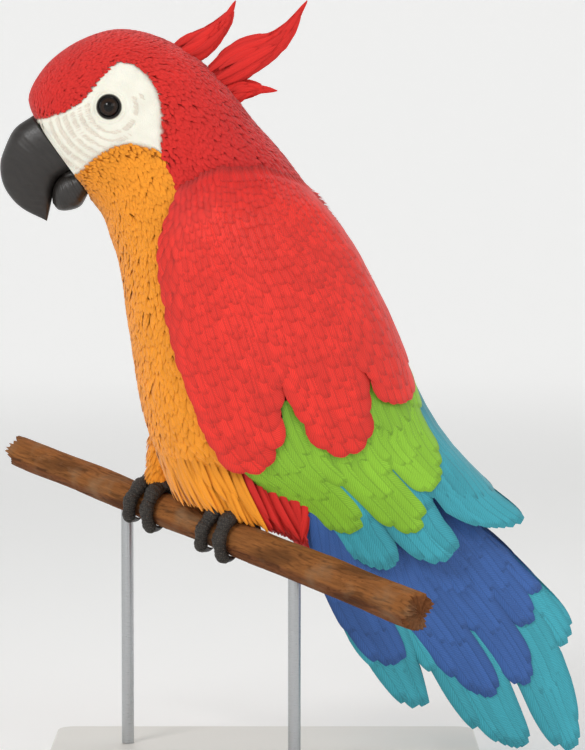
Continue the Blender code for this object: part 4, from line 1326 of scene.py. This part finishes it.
# %% Shape the bill
# Ridge x and z, cutting edge or chin x and z, half width.
BILL_UPPER = np.array([
    (-210, 529, -178.5, 485, 22),
    (-224, 519, -184, 482, 22),
    (-232, 504, -189, 479, 20.5),
    (-236, 490, -192, 474, 17.5),
    (-234, 475, -194, 468, 14),
    (-227, 463, -195.5, 460, 10),
    (-217, 454, -197, 453, 6),
    (-201, 446, -199, 445, 1.5),
], float)
BILL_LOWER = np.array([
    (-177, 483, -166, 467, 18),
    (-183.5, 481.2, -172, 457, 18.5),
    (-188.3, 478.2, -181.5, 453.5, 17.5),
    (-191.2, 473.5, -189.5, 454, 14),
    (-193.2, 467.5, -194, 459, 7),
], float)
# In the real bill the lower half's edge fits inside the upper one's.
BILL_LOWER[1:, :2] += 1.4 * np.array([(-0.5, 0.86), (-0.7, 0.7), (-0.9, 0.44), (-0.97, 0.2)])
BILL_FULLNESS = 0.66
BILL_GAP = 0.3


def bill_rings(rows, first, last, count, sides):
    """Sections of one half of the bill, which starts on the head's front cut over a share of it."""
    rows = rows.copy()
    top, low = BODY[0, :2], BODY[0, 2:4]
    rows[0, :4] = *(top + first * (low - top)), *(top + last * (low - top))
    t = np.linspace(0, len(rows) - 1, count)[:, None]
    turn = np.linspace(0, 2 * math.pi, sides, endpoint=False)[None, :]
    rings = body_surface(rows, t, turn)
    half = smooth(rows, t[:, 0])[:, 4:5]
    growth = 0.12 * np.sin(9 * t + 0.8 * np.cos(turn)) + 0.08 * np.sin(23 * t + np.cos(2 * turn))
    fuller = np.abs(np.sin(turn)) ** BILL_FULLNESS
    rings[..., 1] = -(half + growth * np.minimum(1, half / 8)) * np.sign(np.sin(turn)) * fuller
    rings[0] += BILL_GAP * np.array((0.82, 0, 0.57))
    return rings


def make_horn(name, code, roughness, line_mm):
    """Keratin horn, index 1.54, polished by wear, with fine growth lines and a cloudy, scuffed gloss."""
    made, tree, shader = new_material(name, {"IOR": 1.54, "Coat Weight": 0.12, "Coat Roughness": 0.3})
    pale, dark = ((*(linear(code) * share), 1) for share in (1.9, 0.6))
    place = add(tree, "TexCoord").outputs["Object"]
    cloud = add(tree, "TexNoise", {"Vector": place, "Scale": 1 / (11 * MM), "Detail": 4.0})
    scuff = add(tree, "TexNoise", {"Vector": place, "Scale": 1 / (1.5 * MM), "Detail": 3.0})
    lines = add(tree, "TexWave", {
        "Vector": place, "Scale": 1 / (line_mm * MM) / 6.28, "Distortion": 5.0, "Detail": 3.0,
        "Detail Scale": 1.5}, bands_direction="DIAGONAL").outputs["Fac"]
    clouded = add(tree, "Mix", {0: cloud, 6: rgba(code), 7: pale}, data_type="RGBA").outputs[2]
    line_share = add(tree, "Math", {0: lines, 1: 0.35}, operation="MULTIPLY")
    relief = add(tree, "Math", {0: lines, 1: 0.7, 2: scuff}, operation="MULTIPLY_ADD")
    feed(shader, {
        "Base Color": add(tree, "Mix", {0: line_share, 6: clouded, 7: dark}, data_type="RGBA").outputs[2],
        "Roughness": add(tree, "MapRange", {"Value": scuff, "From Min": 0.3, "From Max": 0.7,
                                            "To Min": roughness - 0.06, "To Max": roughness + 0.1}),
        "Normal": add(tree, "Bump", {"Height": relief, "Strength": 0.25, "Distance": 0.15 * MM})})
    return made


bill_horn = make_horn("black_bill_horn", "#1d1916", 0.42, 2.2)
for name, rows, first, last in (("bill_upper", BILL_UPPER, 0.0, 0.70),
                                ("bill_lower", BILL_LOWER, 0.73, 0.98)):
    piece = tube_piece(name + "_horn", bill_rings(rows, first, last, 90, 72), bill_horn, "bill_horn")
    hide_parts(name)
    told(piece)

# %% [markdown]
# The thick dry tongue fills the space between the two halves, and closes the view through the gape.

# %% Set the tongue
share = np.linspace(0, 1, 24)
tongue_path = along_points([(-168, 0, 478), (-178, 0, 482), (-188, 0, 479)], 24)
tongue_radius = 6.0 * np.sqrt(1 - (0.98 * (2 * share - 1)) ** 2)
tongue_rings = tube_points(tongue_path, 2.4 * tongue_radius, (0, 1, 0), 32, height=0.8 * tongue_radius)
told(tube_piece("tongue", tongue_rings, bill_horn, "bill_horn"))

# %% [markdown]
# ## Eyes
#
# A parrot's eye is a ball set deep in the head, so that only the part inside the lids shows. The
# iris is a very dark brown here, as in a young bird, and the clear cornea over it bulges slightly and
# gives one small bright reflection. One ball with a bulge, a dark iris and a wet coat shows all of that.

# %% Set the eyes
CORNEA_RISE = 0.9
PUPIL_RADIUS = 3.6
IRIS_RADIUS = 6.6


def make_eye():
    """Wet cornea, index 1.376, over a dark iris: almost black, with a mirror-like coat."""
    made, tree, shader = new_material("wet_dark_eye", {
        "IOR": 1.376, "Roughness": 0.08, "Coat Weight": 0.35, "Coat Roughness": 0.02,
        "Specular IOR Level": 0.15})
    place = add(tree, "TexCoord").outputs["Object"]
    fleck = add(tree, "TexNoise", {"Vector": place, "Scale": 1 / (0.9 * MM), "Detail": 2.0})
    tone = add(tree, "Math", {0: fleck, 1: 0.8, 2: 0.6}, operation="MULTIPLY_ADD")
    colour = add(tree, "Attribute", attribute_name="plumage")
    feed(shader, {"Base Color": add(tree, "VectorMath", {0: colour, "Scale": tone}, operation="SCALE")})
    return made


def eyeball(side, sign, look):
    """A ball whose axis points out to the side. Each point is the radius along its direction, plus the
    cornea's rise times a bell of the distance from the axis."""
    rings, sides = 40, 56
    polar = np.linspace(0.02, math.pi - 0.02, rings)[:, None]
    turn = np.linspace(0, 2 * math.pi, sides, endpoint=False)[None, :]
    from_axis = EYE_RADIUS * np.sin(polar) + 0 * turn
    radius = EYE_RADIUS + CORNEA_RISE * np.exp(-((from_axis / 4.6) ** 2)) * (np.cos(polar) > 0)
    centre = np.array((EYE[0], sign * (EYE[1] + EYE_INSET), EYE[2]))
    local = np.stack([np.sin(polar) * np.cos(turn), -sign * np.cos(polar) + 0 * turn,
                      np.sin(polar) * np.sin(turn)], axis=-1)
    piece = tube_piece("eyeball_" + side, centre + local * radius[..., None], look, "dark_eye")
    r = np.append(np.where(polar < math.pi / 2, from_axis, 2 * EYE_RADIUS).ravel(), (0, 20))[:, None]
    pupil, iris, rim = linear("#0b0908"), linear("#2b1c12"), linear("#0d0b0a")
    colours = pupil + stepped(PUPIL_RADIUS - 0.3, PUPIL_RADIUS + 0.3, r) * (iris - pupil)
    colours += stepped(IRIS_RADIUS - 0.5, IRIS_RADIUS + 0.4, r) * (rim - colours)
    write_colours(piece.data, colours)
    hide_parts("eye_" + side)
    return piece


eye_look = make_eye()
for side, sign in (("left", 1), ("right", -1)):
    made = eyeball(side, sign, eye_look)
    print(made.name, [round(v) for v in vertices_of(made.data).mean(axis=0)])

# %% [markdown]
# ## Feet
#
# A parrot's foot has two toes in front and two behind. They are round and fleshy, with rows of small
# horn scales, and end in curved black claws. Every toe is a tube bent round the branch. A groove between two
# scales is a small dip in the tube's radius, deepest on its outer side. The toes, the pad and the
# shank are joined to one piece by Boolean union, and the claws stay separate.

# %% Grip the branch
TOES = ((-7, -13, 12, 138), (7, 10, 12, 150), (-7, -11, -12, -126), (7, 13, -12, -136))
CLAW_TURN = 42
CLAW_RADIUS = 3.6
SHANK_RADIUS = 7.0
SHANK_HEIGHT = 9.0
PAD_HALF = (16.0, 12.0)
SCUTE_MM = 3.2


def over_perch(foot, place, angle, height):
    """Points at an angle over the perch, 0 on top and 90 degrees in front, a height above its bark."""
    at = (foot - FOOT_RIGHT) @ PERCH_AXIS
    radius = perch_radius(at) + height
    reach = np.cos(angle)[:, None] * PERCH_UP + np.sin(angle)[:, None] * PERCH_FORWARD
    return foot + np.asarray(place)[:, None] * PERCH_AXIS + np.asarray(radius)[:, None] * reach


def scutes(path, sides, depth, size=SCUTE_MM):
    """Grooves between scales: minus the depth times |cos| to the power 8 of the way along."""
    length = np.r_[0, np.cumsum(np.linalg.norm(np.diff(path, axis=0), axis=1))]
    ridge = np.abs(np.cos(math.pi * length / size)) ** 8
    return -depth * ridge[:, None] * np.ones(sides)


def build_foot(side, foot, look, horn):
    """Pad, shank and four toes in one piece, and a claw at the end of each toe."""
    at = perch_radius((foot - FOOT_RIGHT) @ PERCH_AXIS)
    pad = foot + (at + TOE_CLEAR + TOE_RADIUS[0]) * PERCH_UP
    ends = np.linspace(-1, 1, 25)
    bulge = np.sqrt(1 - (0.98 * ends) ** 2)
    sole = tube_points(pad + PAD_HALF[0] * ends[:, None] * PERCH_AXIS, PAD_HALF[1] * bulge, PERCH_FORWARD, 32,
                       height=TOE_RADIUS[0] * 0.98 * bulge)
    whole = tube_piece(f"foot_skin_{side}", sole, look, "foot_skin")
    rise = pad + np.linspace(-1, SHANK_HEIGHT + 3, 28)[:, None] * PERCH_UP
    shank = tube_points(rise, np.full(28, SHANK_RADIUS), PERCH_AXIS, 28, groove=scutes(rise, 28, 0.35, 3.0))
    others = [tube_piece("shank", shank, look, "foot_skin")]
    for number, (root, tip, start, end) in enumerate(TOES, 1):
        share = np.linspace(0, 1, 90)
        # Three joint pads swell the toe, and its underside stays on the bark as it gets thinner.
        radius = TOE_RADIUS[0] + share * (TOE_RADIUS[1] - TOE_RADIUS[0])
        radius = radius * (0.93 + 0.16 * np.sin(math.pi * (3 * share - 0.15)) ** 2)
        radius = radius * np.sqrt(np.clip(1 - ((share - 0.93) / 0.075).clip(0) ** 2, 0.05, 1))
        angle = np.radians(start + share * (end - start))
        path = over_perch(foot, root + share * (tip - root), angle, TOE_CLEAR - 1.0 + np.maximum(radius, 2.4))
        toe = tube_points(path, radius * 1.06, PERCH_AXIS, 26, height=radius * 0.97,
                          groove=scutes(path, 26, 0.6))
        others.append(tube_piece("toe", toe, look, "foot_skin"))
        sign = math.copysign(1, end)
        share = np.linspace(0, 1, 26)
        slim = CLAW_RADIUS * (1 - 0.9 * share**1.2)
        first = math.radians(end) - sign * 1.5 / (at + TOE_CLEAR + TOE_RADIUS[1])
        angle = first + sign * math.radians(CLAW_TURN + 5) * share
        path = over_perch(foot, tip + 0 * share, angle, 0.4 + np.maximum(slim, 0.5) + 0.3 * (1 - share))
        hook = tube_points(path, slim * 0.86, PERCH_AXIS, 20, height=slim)
        claw = tube_piece(f"claw_horn_{side}_{number}", hook, horn, "claw_horn")
        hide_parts(f"claw_{side}_{number}")
    united(whole, others)
    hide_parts("foot_" + side)
    return whole


def make_foot_skin():
    """Tough scaly skin, index 1.45: matt grey-black, paler on the worn tops of its small round scales."""
    made, tree, shader = new_material("scaly_foot_skin", {"IOR": 1.45, "Roughness": 0.55})
    place = add(tree, "TexCoord").outputs["Object"]
    scale = add(tree, "TexVoronoi", {"Vector": place, "Scale": 1 / (1.7 * MM), "Randomness": 0.75},
                feature="DISTANCE_TO_EDGE")
    top = add(tree, "MapRange", {"Value": scale, "From Min": 0.0, "From Max": 0.25})
    feed(shader, {
        "Base Color": add(tree, "Mix", {0: top, 6: rgba("#14110f"), 7: rgba("#453e37")},
                          data_type="RGBA").outputs[2],
        "Normal": add(tree, "Bump", {"Height": top, "Strength": 0.8, "Distance": 0.35 * MM})})
    return made


foot_skin = make_foot_skin()
claw_horn = make_horn("black_claw_horn", "#1d1a17", 0.28, 1.2)
for side, foot in (("left", FOOT_LEFT), ("right", FOOT_RIGHT)):
    told(build_foot(side, foot, foot_skin, claw_horn))

# %% [markdown]
# ### Thigh feathers
#
# Short soft feathers cover the thighs and hang over the ankles, down to the pads of the feet.

# %% Feather the thighs
# How much lower a loose belly feather hangs, for each millimetre that it stands past the perch's axis.
PAST_DROP = 0.075


def thigh_feathers(side, foot):
    """Rings of feathers down a thigh. Each shaft runs down the tube, from just under its surface to a
    few millimetres off it at the tip."""
    path = thigh_path(foot, 60)[::-1]
    ahead = unit(np.gradient(path, axis=0))
    down_count, round_count = 18, 24
    number = down_count * round_count
    start = np.repeat(np.linspace(0.0, 0.9, down_count), round_count) + 0.03 * random.random(number)
    odd = np.repeat(np.arange(down_count) % 2, round_count)
    turn = np.tile(np.arange(round_count), down_count) + 0.5 * odd + 0.4 * random.random(number)
    turn = turn * 2 * math.pi / round_count
    q = vane_steps(6, 0.55)
    whole = np.linalg.norm(np.diff(path, axis=0), axis=1).sum()
    length = 16 * (0.8 + 0.4 * random.random(number))
    gone = start[:, None] * whole + length[:, None] * q
    index = np.clip(gone / whole * 59, 0, 59)
    low = np.minimum(index.astype(int), 58)
    base = path[low] + (index - low)[..., None] * (path[low + 1] - path[low])
    over = np.maximum(gone - whole, 0)[..., None] * ahead[-1]
    side_axis = unit(np.array((0, 1, 0)) - ahead[low] * ahead[low][..., 1:2])
    rise_axis = np.cross(ahead[low], side_axis)
    out = np.cos(turn)[:, None, None] * side_axis + np.sin(turn)[:, None, None] * rise_axis
    tip_height = 2.2 + 2.6 * random.random(number)
    radius = np.interp(gone / whole, (0, 0.12, 0.32, 1), (4, 9.5, 12.8, 9.3)) - 0.6 + tip_height[:, None] * q
    shaft = base + over + out * radius[..., None]
    tints = np.broadcast_to(ORANGE, (number, 3))
    places = np.stack([0.05 + 0.9 * (turn % (2 * math.pi)) / (2 * math.pi), 0.05 + 0.9 * start], axis=1)
    return vanes(f"feathers_thigh_{side}", shaft, out, np.full(number, 5.2), shaded(varied(tints, 0.08), q),
                 places, down, "orange_plumage", q, section=ARCH, thick=0.25, base=0.6, widest=0.55,
                 blunt=0.3, fray=0.5)


def perch_share(x):
    """Share of the way from the right foot to the left one, at a place seen from the side."""
    return (x - FOOT_RIGHT[0]) / (FOOT_LEFT[0] - FOOT_RIGHT[0])


def perch_top(x):
    """Height of the perch's upper edge at a place seen from the side: the axis there plus the radius
    over the cosine of its slope."""
    share = perch_share(x)
    along = share * np.linalg.norm(FOOT_LEFT - FOOT_RIGHT)
    return FOOT_RIGHT[2] + share * (FOOT_LEFT[2] - FOOT_RIGHT[2]) + perch_radius(along) * 1.04


def perch_middle(x):
    """How far out to the right the perch's axis is at a place seen from the side."""
    return FOOT_RIGHT[1] + perch_share(x) * (FOOT_LEFT[1] - FOOT_RIGHT[1])


def skirt_feathers():
    """The lower belly's loose feathers: each leaves the skin, bends over and hangs to just above the
    perch."""
    roots = body_roots(12.6, 19.4, even_gap=2.9)
    point, out = outward(body_surface, TRUNK, roots[:, 0], roots[:, 1])
    # The tips sway back by half their fall, but for those beside the tail, and the perch slopes down there.
    sway_share = 0.5 * stepped(6, -16, point[:, 0])
    hang = (point[:, 2] - perch_top(point[:, 0])) / (1 - 0.3 * sway_share)
    top_row = 32 + 26 * random.random(len(hang))
    below = np.abs(roots[:, 1] - math.pi) < math.radians(95)
    kept = below & (hang > 2) & (hang < top_row) & (point[:, 0] < 7)
    roots, point, out, hang, sway_share = roots[kept], point[kept], out[kept], hang[kept], sway_share[kept]
    number = len(roots)
    q = vane_steps(7, 0.5)
    start = point - 3.5 * out
    loose = hang * (0.4 + 0.8 * random.random(number)) + 3
    fall = np.minimum(loose, hang + 0.5 - 2.5 * random.random(number))
    # Beside the perch, past its far edge, they hang lower, down to the line of sight over its top.
    past = point[:, 1] - perch_middle(point[:, 0])
    fall += PAST_DROP * past * stepped(14, 26, past)
    sway = sway_share * fall + (0.5 + 4 * sway_share) * random.standard_normal(number)
    tip = point + np.stack([sway, -1.5 * out[:, 1] + 1.5 * random.standard_normal(number), -fall], axis=1)
    puff = (1.5 + 3.0 * random.random(number)) * stepped(60, 24, hang)
    bend = point + puff[:, None] * out + np.stack([0.1 * fall, 0 * fall, -0.45 * fall], 1)
    shaft = bezier(start, bend, tip, q)
    face = unit(out * (1, 1, 0.2) + (-0.15, 0, 0))[:, None] + 0 * shaft
    tints = varied(markings(shaft[:, 3]), 0.08)
    return vanes("feathers_belly_skirt", shaft, face, np.full(number, 6.4), shaded(tints, q, root=0.8),
                 coat_places(*roots.T), down, "orange_plumage", q, section=ARCH, thick=0.22, base=0.6,
                 widest=0.5, blunt=0.3, fray=0.5)


told(skirt_feathers())
for side, foot in (("left", FOOT_LEFT), ("right", FOOT_RIGHT)):
    told(thigh_feathers(side, foot))

# %% [markdown]
# ## Perch
#
# The perch is a dead branch as thick as a thumb, broken off at both ends. Its bark is cracked along
# its length. Waves of several lengths run along and round it, and their sum, folded at
# zero, leaves ridges with narrow cracks between them. The ends are splintered and show paler wood.

# %% Cut the branch
PERCH_SIDES = 12
BARK_SIDES = 120
# The rings that close each broken end: share of its radius, and step inwards in mm.
END_RINGS = ((0.85, 1.5), (0.55, 3.5), (0.2, 2.0))
BROKEN_DEPTH = 9.0


def bark_height(place, turn):
    """Relief of the bark in mm: broad swells, then cracks where a folded sum of waves nears zero."""
    swell = 0.35 * np.sin(3 * turn + place / 21) + 0.25 * np.sin(place / 13)
    bend = turn * 9 + 1.3 * np.sin(place / 17) + 0.8 * np.sin(place / 6.3 + 2 * turn)
    fold = np.sin(bend) + 0.5 * np.sin(2.3 * bend + place / 5.1) + 0.3 * np.sin(place / 2.4 + 5 * turn)
    knot = 2.2 * np.exp(-(((place - 118) / 7) ** 2) - ((np.angle(np.exp(1j * (turn - 5.2))) / 0.35) ** 2))
    return swell - 0.55 * np.exp(-((np.abs(fold) / 0.33) ** 2)) + knot


def cut_branch(look):
    """Rings along the perch with the bark's relief. Their ends slide along the axis by the splinters'
    depth, which fades with the distance from the end, and three smaller rings close each end."""
    places = np.linspace(*PERCH_SPAN, 300)[:, None]
    turn = np.linspace(0, 2 * math.pi, BARK_SIDES, endpoint=False)[None, :]
    radius = perch_radius(places) + bark_height(places, turn)
    side = np.arange(PERCH_SIDES + 1) * 2 * math.pi / PERCH_SIDES
    depth = np.abs(((np.arange(PERCH_SIDES + 1) % PERCH_SIDES) * 5 % 7) / 6)
    splinter = np.interp(turn, side, depth) + 0.18 * np.sin(23 * turn) + 0.12 * np.sin(41 * turn + 1)
    splinter = np.clip(splinter, 0.02, 1)
    near_start = np.exp(-(places - PERCH_SPAN[0]) / 7)
    near_end = np.exp(-(PERCH_SPAN[1] - places) / 7)
    slide = BROKEN_DEPTH * splinter * (near_start - near_end)
    reach = np.cos(turn)[..., None] * PERCH_UP + np.sin(turn)[..., None] * PERCH_FORWARD
    rings = FOOT_RIGHT + (places + slide)[..., None] * PERCH_AXIS + radius[..., None] * reach
    inner = []
    for share, step in END_RINGS:
        rough = 1.2 * np.sin(17 * turn[0] + 9 * share)[:, None]
        centre = FOOT_RIGHT + PERCH_SPAN[0] * PERCH_AXIS
        flat = centre + (rings[0] - centre) * share + (step + rough) * PERCH_AXIS * (1 - share)
        centre_end = FOOT_RIGHT + PERCH_SPAN[1] * PERCH_AXIS
        flat_end = centre_end + (rings[-1] - centre_end) * share - (step + rough) * PERCH_AXIS * (1 - share)
        inner.append((flat, flat_end))
    rings = np.concatenate([[a for a, _ in inner[::-1]], rings, [b for _, b in inner]])
    branch = tube_piece("branch", rings, look, "branch_bark")
    local = closed_rings(rings)[0] - FOOT_RIGHT
    grain = np.stack([local @ PERCH_AXIS, local @ PERCH_UP, local @ PERCH_FORWARD], axis=1)
    write_values(branch.data, "grain", "FLOAT_VECTOR", grain)
    # Painted shade: the bark is darker on the perch's underside.
    below = stepped(-1.0, -5.5, grain[:, 1])[:, None]
    rim = np.zeros(len(local))
    capped = len(END_RINGS) * BARK_SIDES
    rim[:capped] = rim[-capped - 2 :] = 1
    # Painted shade: the bark is darker down in its cracks, the deeper the darker.
    cracks = np.zeros(len(local))
    height = bark_height(places, turn)
    cracks[capped : capped + height.size] = stepped(-0.05, -0.6, height).ravel()
    bark = linear("#8f5a2e") + below * (linear("#744526") - linear("#8f5a2e"))
    bark *= (1 - 0.45 * cracks)[:, None]
    write_colours(branch.data, np.where(rim[:, None] > 0, linear("#7d4c2a"), bark))
    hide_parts("perch")
    return branch


def make_bark():
    """Dry bark, index 1.45: rough and dull, streaked along the branch in grey-brown and tan."""
    made, tree, shader = new_material("dry_branch_bark", {
        "IOR": 1.45, "Roughness": 0.85, "Specular IOR Level": 0.25})
    colour = add(tree, "Attribute", attribute_name="plumage")
    grain = add(tree, "Attribute", attribute_name="grain").outputs["Vector"]
    long = add(tree, "VectorMath", {0: grain, 1: (0.12, 1.0, 1.0)}, operation="MULTIPLY")
    streak = add(tree, "TexNoise", {"Vector": long, "Scale": 1 / 2.4, "Detail": 5.0, "Roughness": 0.65})
    patchy = add(tree, "TexNoise", {"Vector": grain, "Scale": 1 / 22, "Detail": 3.0})
    tone = add(tree, "MapRange", {"Value": streak, "From Min": 0.3, "From Max": 0.7,
                                  "To Min": 0.68, "To Max": 1.28})
    streaked = add(tree, "VectorMath", {0: colour, "Scale": tone}, operation="SCALE")
    worn = add(tree, "MapRange", {"Value": patchy, "From Min": 0.5, "From Max": 0.75, "To Max": 0.35})
    feed(shader, {
        "Base Color": add(tree, "Mix", {0: worn, 6: streaked, 7: rgba("#9a8468")},
                          data_type="RGBA").outputs[2],
        "Normal": add(tree, "Bump", {"Height": streak, "Strength": 0.7, "Distance": 0.9 * MM})})
    return made


told(cut_branch(make_bark()))

# %% [markdown]
# ## Stand
#
# The stand is plain, so that it doesn't compete with the bird: a satin painted board and two steel
# rods. Its solids already have their true shape, so they stay, and only get their finish.

# %% Finish the stand
def make_painted_board():
    """Sprayed satin paint on fibreboard, index 1.5: an even off-white with a faint orange-peel."""
    made, tree, shader = new_material("satin_painted_board", {"IOR": 1.5})
    place = add(tree, "TexCoord").outputs["Object"]
    peel = add(tree, "TexNoise", {"Vector": place, "Scale": 1 / (1.8 * MM), "Detail": 2.0})
    cloud = add(tree, "TexNoise", {"Vector": place, "Scale": 1 / (60 * MM), "Detail": 3.0})
    feed(shader, {
        "Base Color": add(tree, "Mix", {0: cloud, 6: rgba("#dedcd6"), 7: rgba("#e6e4de")},
                          data_type="RGBA").outputs[2],
        "Roughness": add(tree, "MapRange", {"Value": cloud, "To Min": 0.38, "To Max": 0.5}),
        "Normal": add(tree, "Bump", {"Height": peel, "Strength": 0.12, "Distance": 0.1 * MM})})
    return made


def make_brushed_steel():
    """Ground stainless rod: a metal with fine scratches round it that blur its reflections."""
    made, tree, shader = new_material("brushed_stainless_rod", {"Metallic": 1.0})
    place = add(tree, "TexCoord").outputs["Object"]
    flat = add(tree, "VectorMath", {0: place, 1: (0.08, 0.08, 1.0)}, operation="MULTIPLY")
    scratch = add(tree, "TexNoise", {"Vector": flat, "Scale": 1 / (0.5 * MM), "Detail": 3.0})
    feed(shader, {
        "Base Color": add(tree, "Mix", {0: scratch, 6: rgba("#a9abad"), 7: rgba("#c6c8ca")},
                          data_type="RGBA").outputs[2],
        "Roughness": add(tree, "MapRange", {"Value": scratch, "From Min": 0.3, "From Max": 0.7,
                                            "To Min": 0.26, "To Max": 0.4}),
        "Normal": add(tree, "Bump", {"Height": scratch, "Strength": 0.1, "Distance": 0.05 * MM})})
    return made


for look, names in ((make_painted_board(), ("stand_base",)),
                    (make_brushed_steel(), ("stand_rod_1", "stand_rod_2"))):
    for name in names:
        node_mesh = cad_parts[name].data
        node_mesh.materials.clear()
        node_mesh.materials.append(look)
        print(name, "finished as", look.name)

# %% [markdown]
# ## Studio
#
# A museum photographs a bird like this on a pale paper floor that curves up all round into a wall, so
# that no corner shows from any side. The wall is translucent and faintly lit from behind. A large soft
# lamp hangs at the upper left, a weaker one fills from the right, and a third from above and behind
# picks out the outline.

# %% Sweep, lamps and camera
CAMERA_DISTANCE = 2.9
CAMERA_RISE = math.radians(4)
VIEW_HEIGHT = 0.600
VIEW_MARGIN = 1.004
AIM = placed((-2.4, 0.0, 321.3))
FLOOR_REACH = 4.5
SWEEP_RADIUS = 5.0
WALL_TOP = 5.5
FAR_GLOW = 0.3
WALL_GLOW = 0.22
AIR_GLOW = 0.42
SENSOR = 36


def build_sweep():
    """A round studio: a flat floor, a quarter circle up, and a wall, turned about the bird. The glow is
    0 round the bird, and rises over the far floor and the wall, where the lamps don't reach."""
    sides = 96
    bend = np.linspace(0, math.pi / 2, 20)
    flat = np.array([0.4, 0.8, 1.2, 1.7, 2.3, 3.0, 3.8])
    reach = np.r_[flat, FLOOR_REACH + SWEEP_RADIUS * np.sin(bend), FLOOR_REACH + SWEEP_RADIUS]
    rise = np.r_[0 * flat, SWEEP_RADIUS * (1 - np.cos(bend)), WALL_TOP]
    turn = np.linspace(0, 2 * math.pi, sides, endpoint=False)
    rings = np.stack([reach[:, None] * np.cos(turn), reach[:, None] * np.sin(turn),
                      rise[:, None] + 0 * turn], axis=-1)
    points = np.vstack([rings.reshape(-1, 3), (0, 0, 0)]) / MM - SHIFT
    j = np.arange(sides)
    fan = np.stack([j, (j + 1) % sides, np.full(sides, len(points) - 1)], axis=1)
    sweep = new_piece("sweep", points, grid_quads(len(reach), sides, ring=True), make_sweep_paper(),
                      "base_board", fan)
    glow = FAR_GLOW * stepped(0.9, 5.0, reach) + (WALL_GLOW - FAR_GLOW) * stepped(0, SWEEP_RADIUS, rise)
    glow = np.append(np.repeat(glow, sides), 0)
    write_values(sweep.data, "glow", "FLOAT", glow)
    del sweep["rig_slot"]
    return sweep


def make_sweep_paper():
    """Matt background paper: white, with no gloss at all, and the light that comes through it."""
    made, tree, shader = new_material("white_background_paper", {
        "Roughness": 0.95, "Base Color": rgba("#fbfbfa"), "Specular IOR Level": 0.05,
        "Emission Color": (1, 1, 1, 1)})
    feed(shader, {"Emission Strength": add(tree, "Attribute", attribute_name="glow").outputs["Fac"]})
    return made


def aim(thing, target):
    """Turns a lamp or camera so that it looks at the target, and puts it in the scene."""
    thing.rotation_mode = "QUATERNION"
    thing.rotation_quaternion = (Vector(target) - thing.location).to_track_quat("-Z", "Y")
    bpy.context.scene.collection.objects.link(thing)


def lamp(name, place, size, watts):
    """A square area lamp, with its place and its side in metres, aimed at the bird."""
    light = bpy.data.lights.new(name, "AREA")
    light.size = size
    light.energy = watts
    thing = bpy.data.objects.new(name, light)
    thing.location = place
    aim(thing, AIM)


build_sweep()
lamp("key_lamp", (-1.3, -1.9, 2.0), 0.8, 24)
lamp("fill_lamp", (2.6, -2.3, 1.9), 2.0, 15)
lamp("top_lamp", (0.2, 0.9, 2.3), 1.5, 13)
world = bpy.data.worlds.new("studio_air")
world.use_nodes = True
world.node_tree.nodes["Background"].inputs["Strength"].default_value = AIR_GLOW
world.node_tree.nodes["Background"].inputs["Color"].default_value = (1, 1, 1, 1)
scene = bpy.context.scene
scene.world = world
scene.view_settings.view_transform = "Standard"

camera = bpy.data.objects.new("camera", bpy.data.cameras.new("camera"))
back = Vector((0, -math.cos(CAMERA_RISE), math.sin(CAMERA_RISE)))
camera.location = Vector(AIM) + CAMERA_DISTANCE * back
camera.data.sensor_fit = "VERTICAL"
camera.data.sensor_height = SENSOR
camera.data.lens = SENSOR * CAMERA_DISTANCE / (VIEW_HEIGHT * VIEW_MARGIN)
aim(camera, AIM)
scene.camera = camera
print("lens:", round(camera.data.lens), "mm")
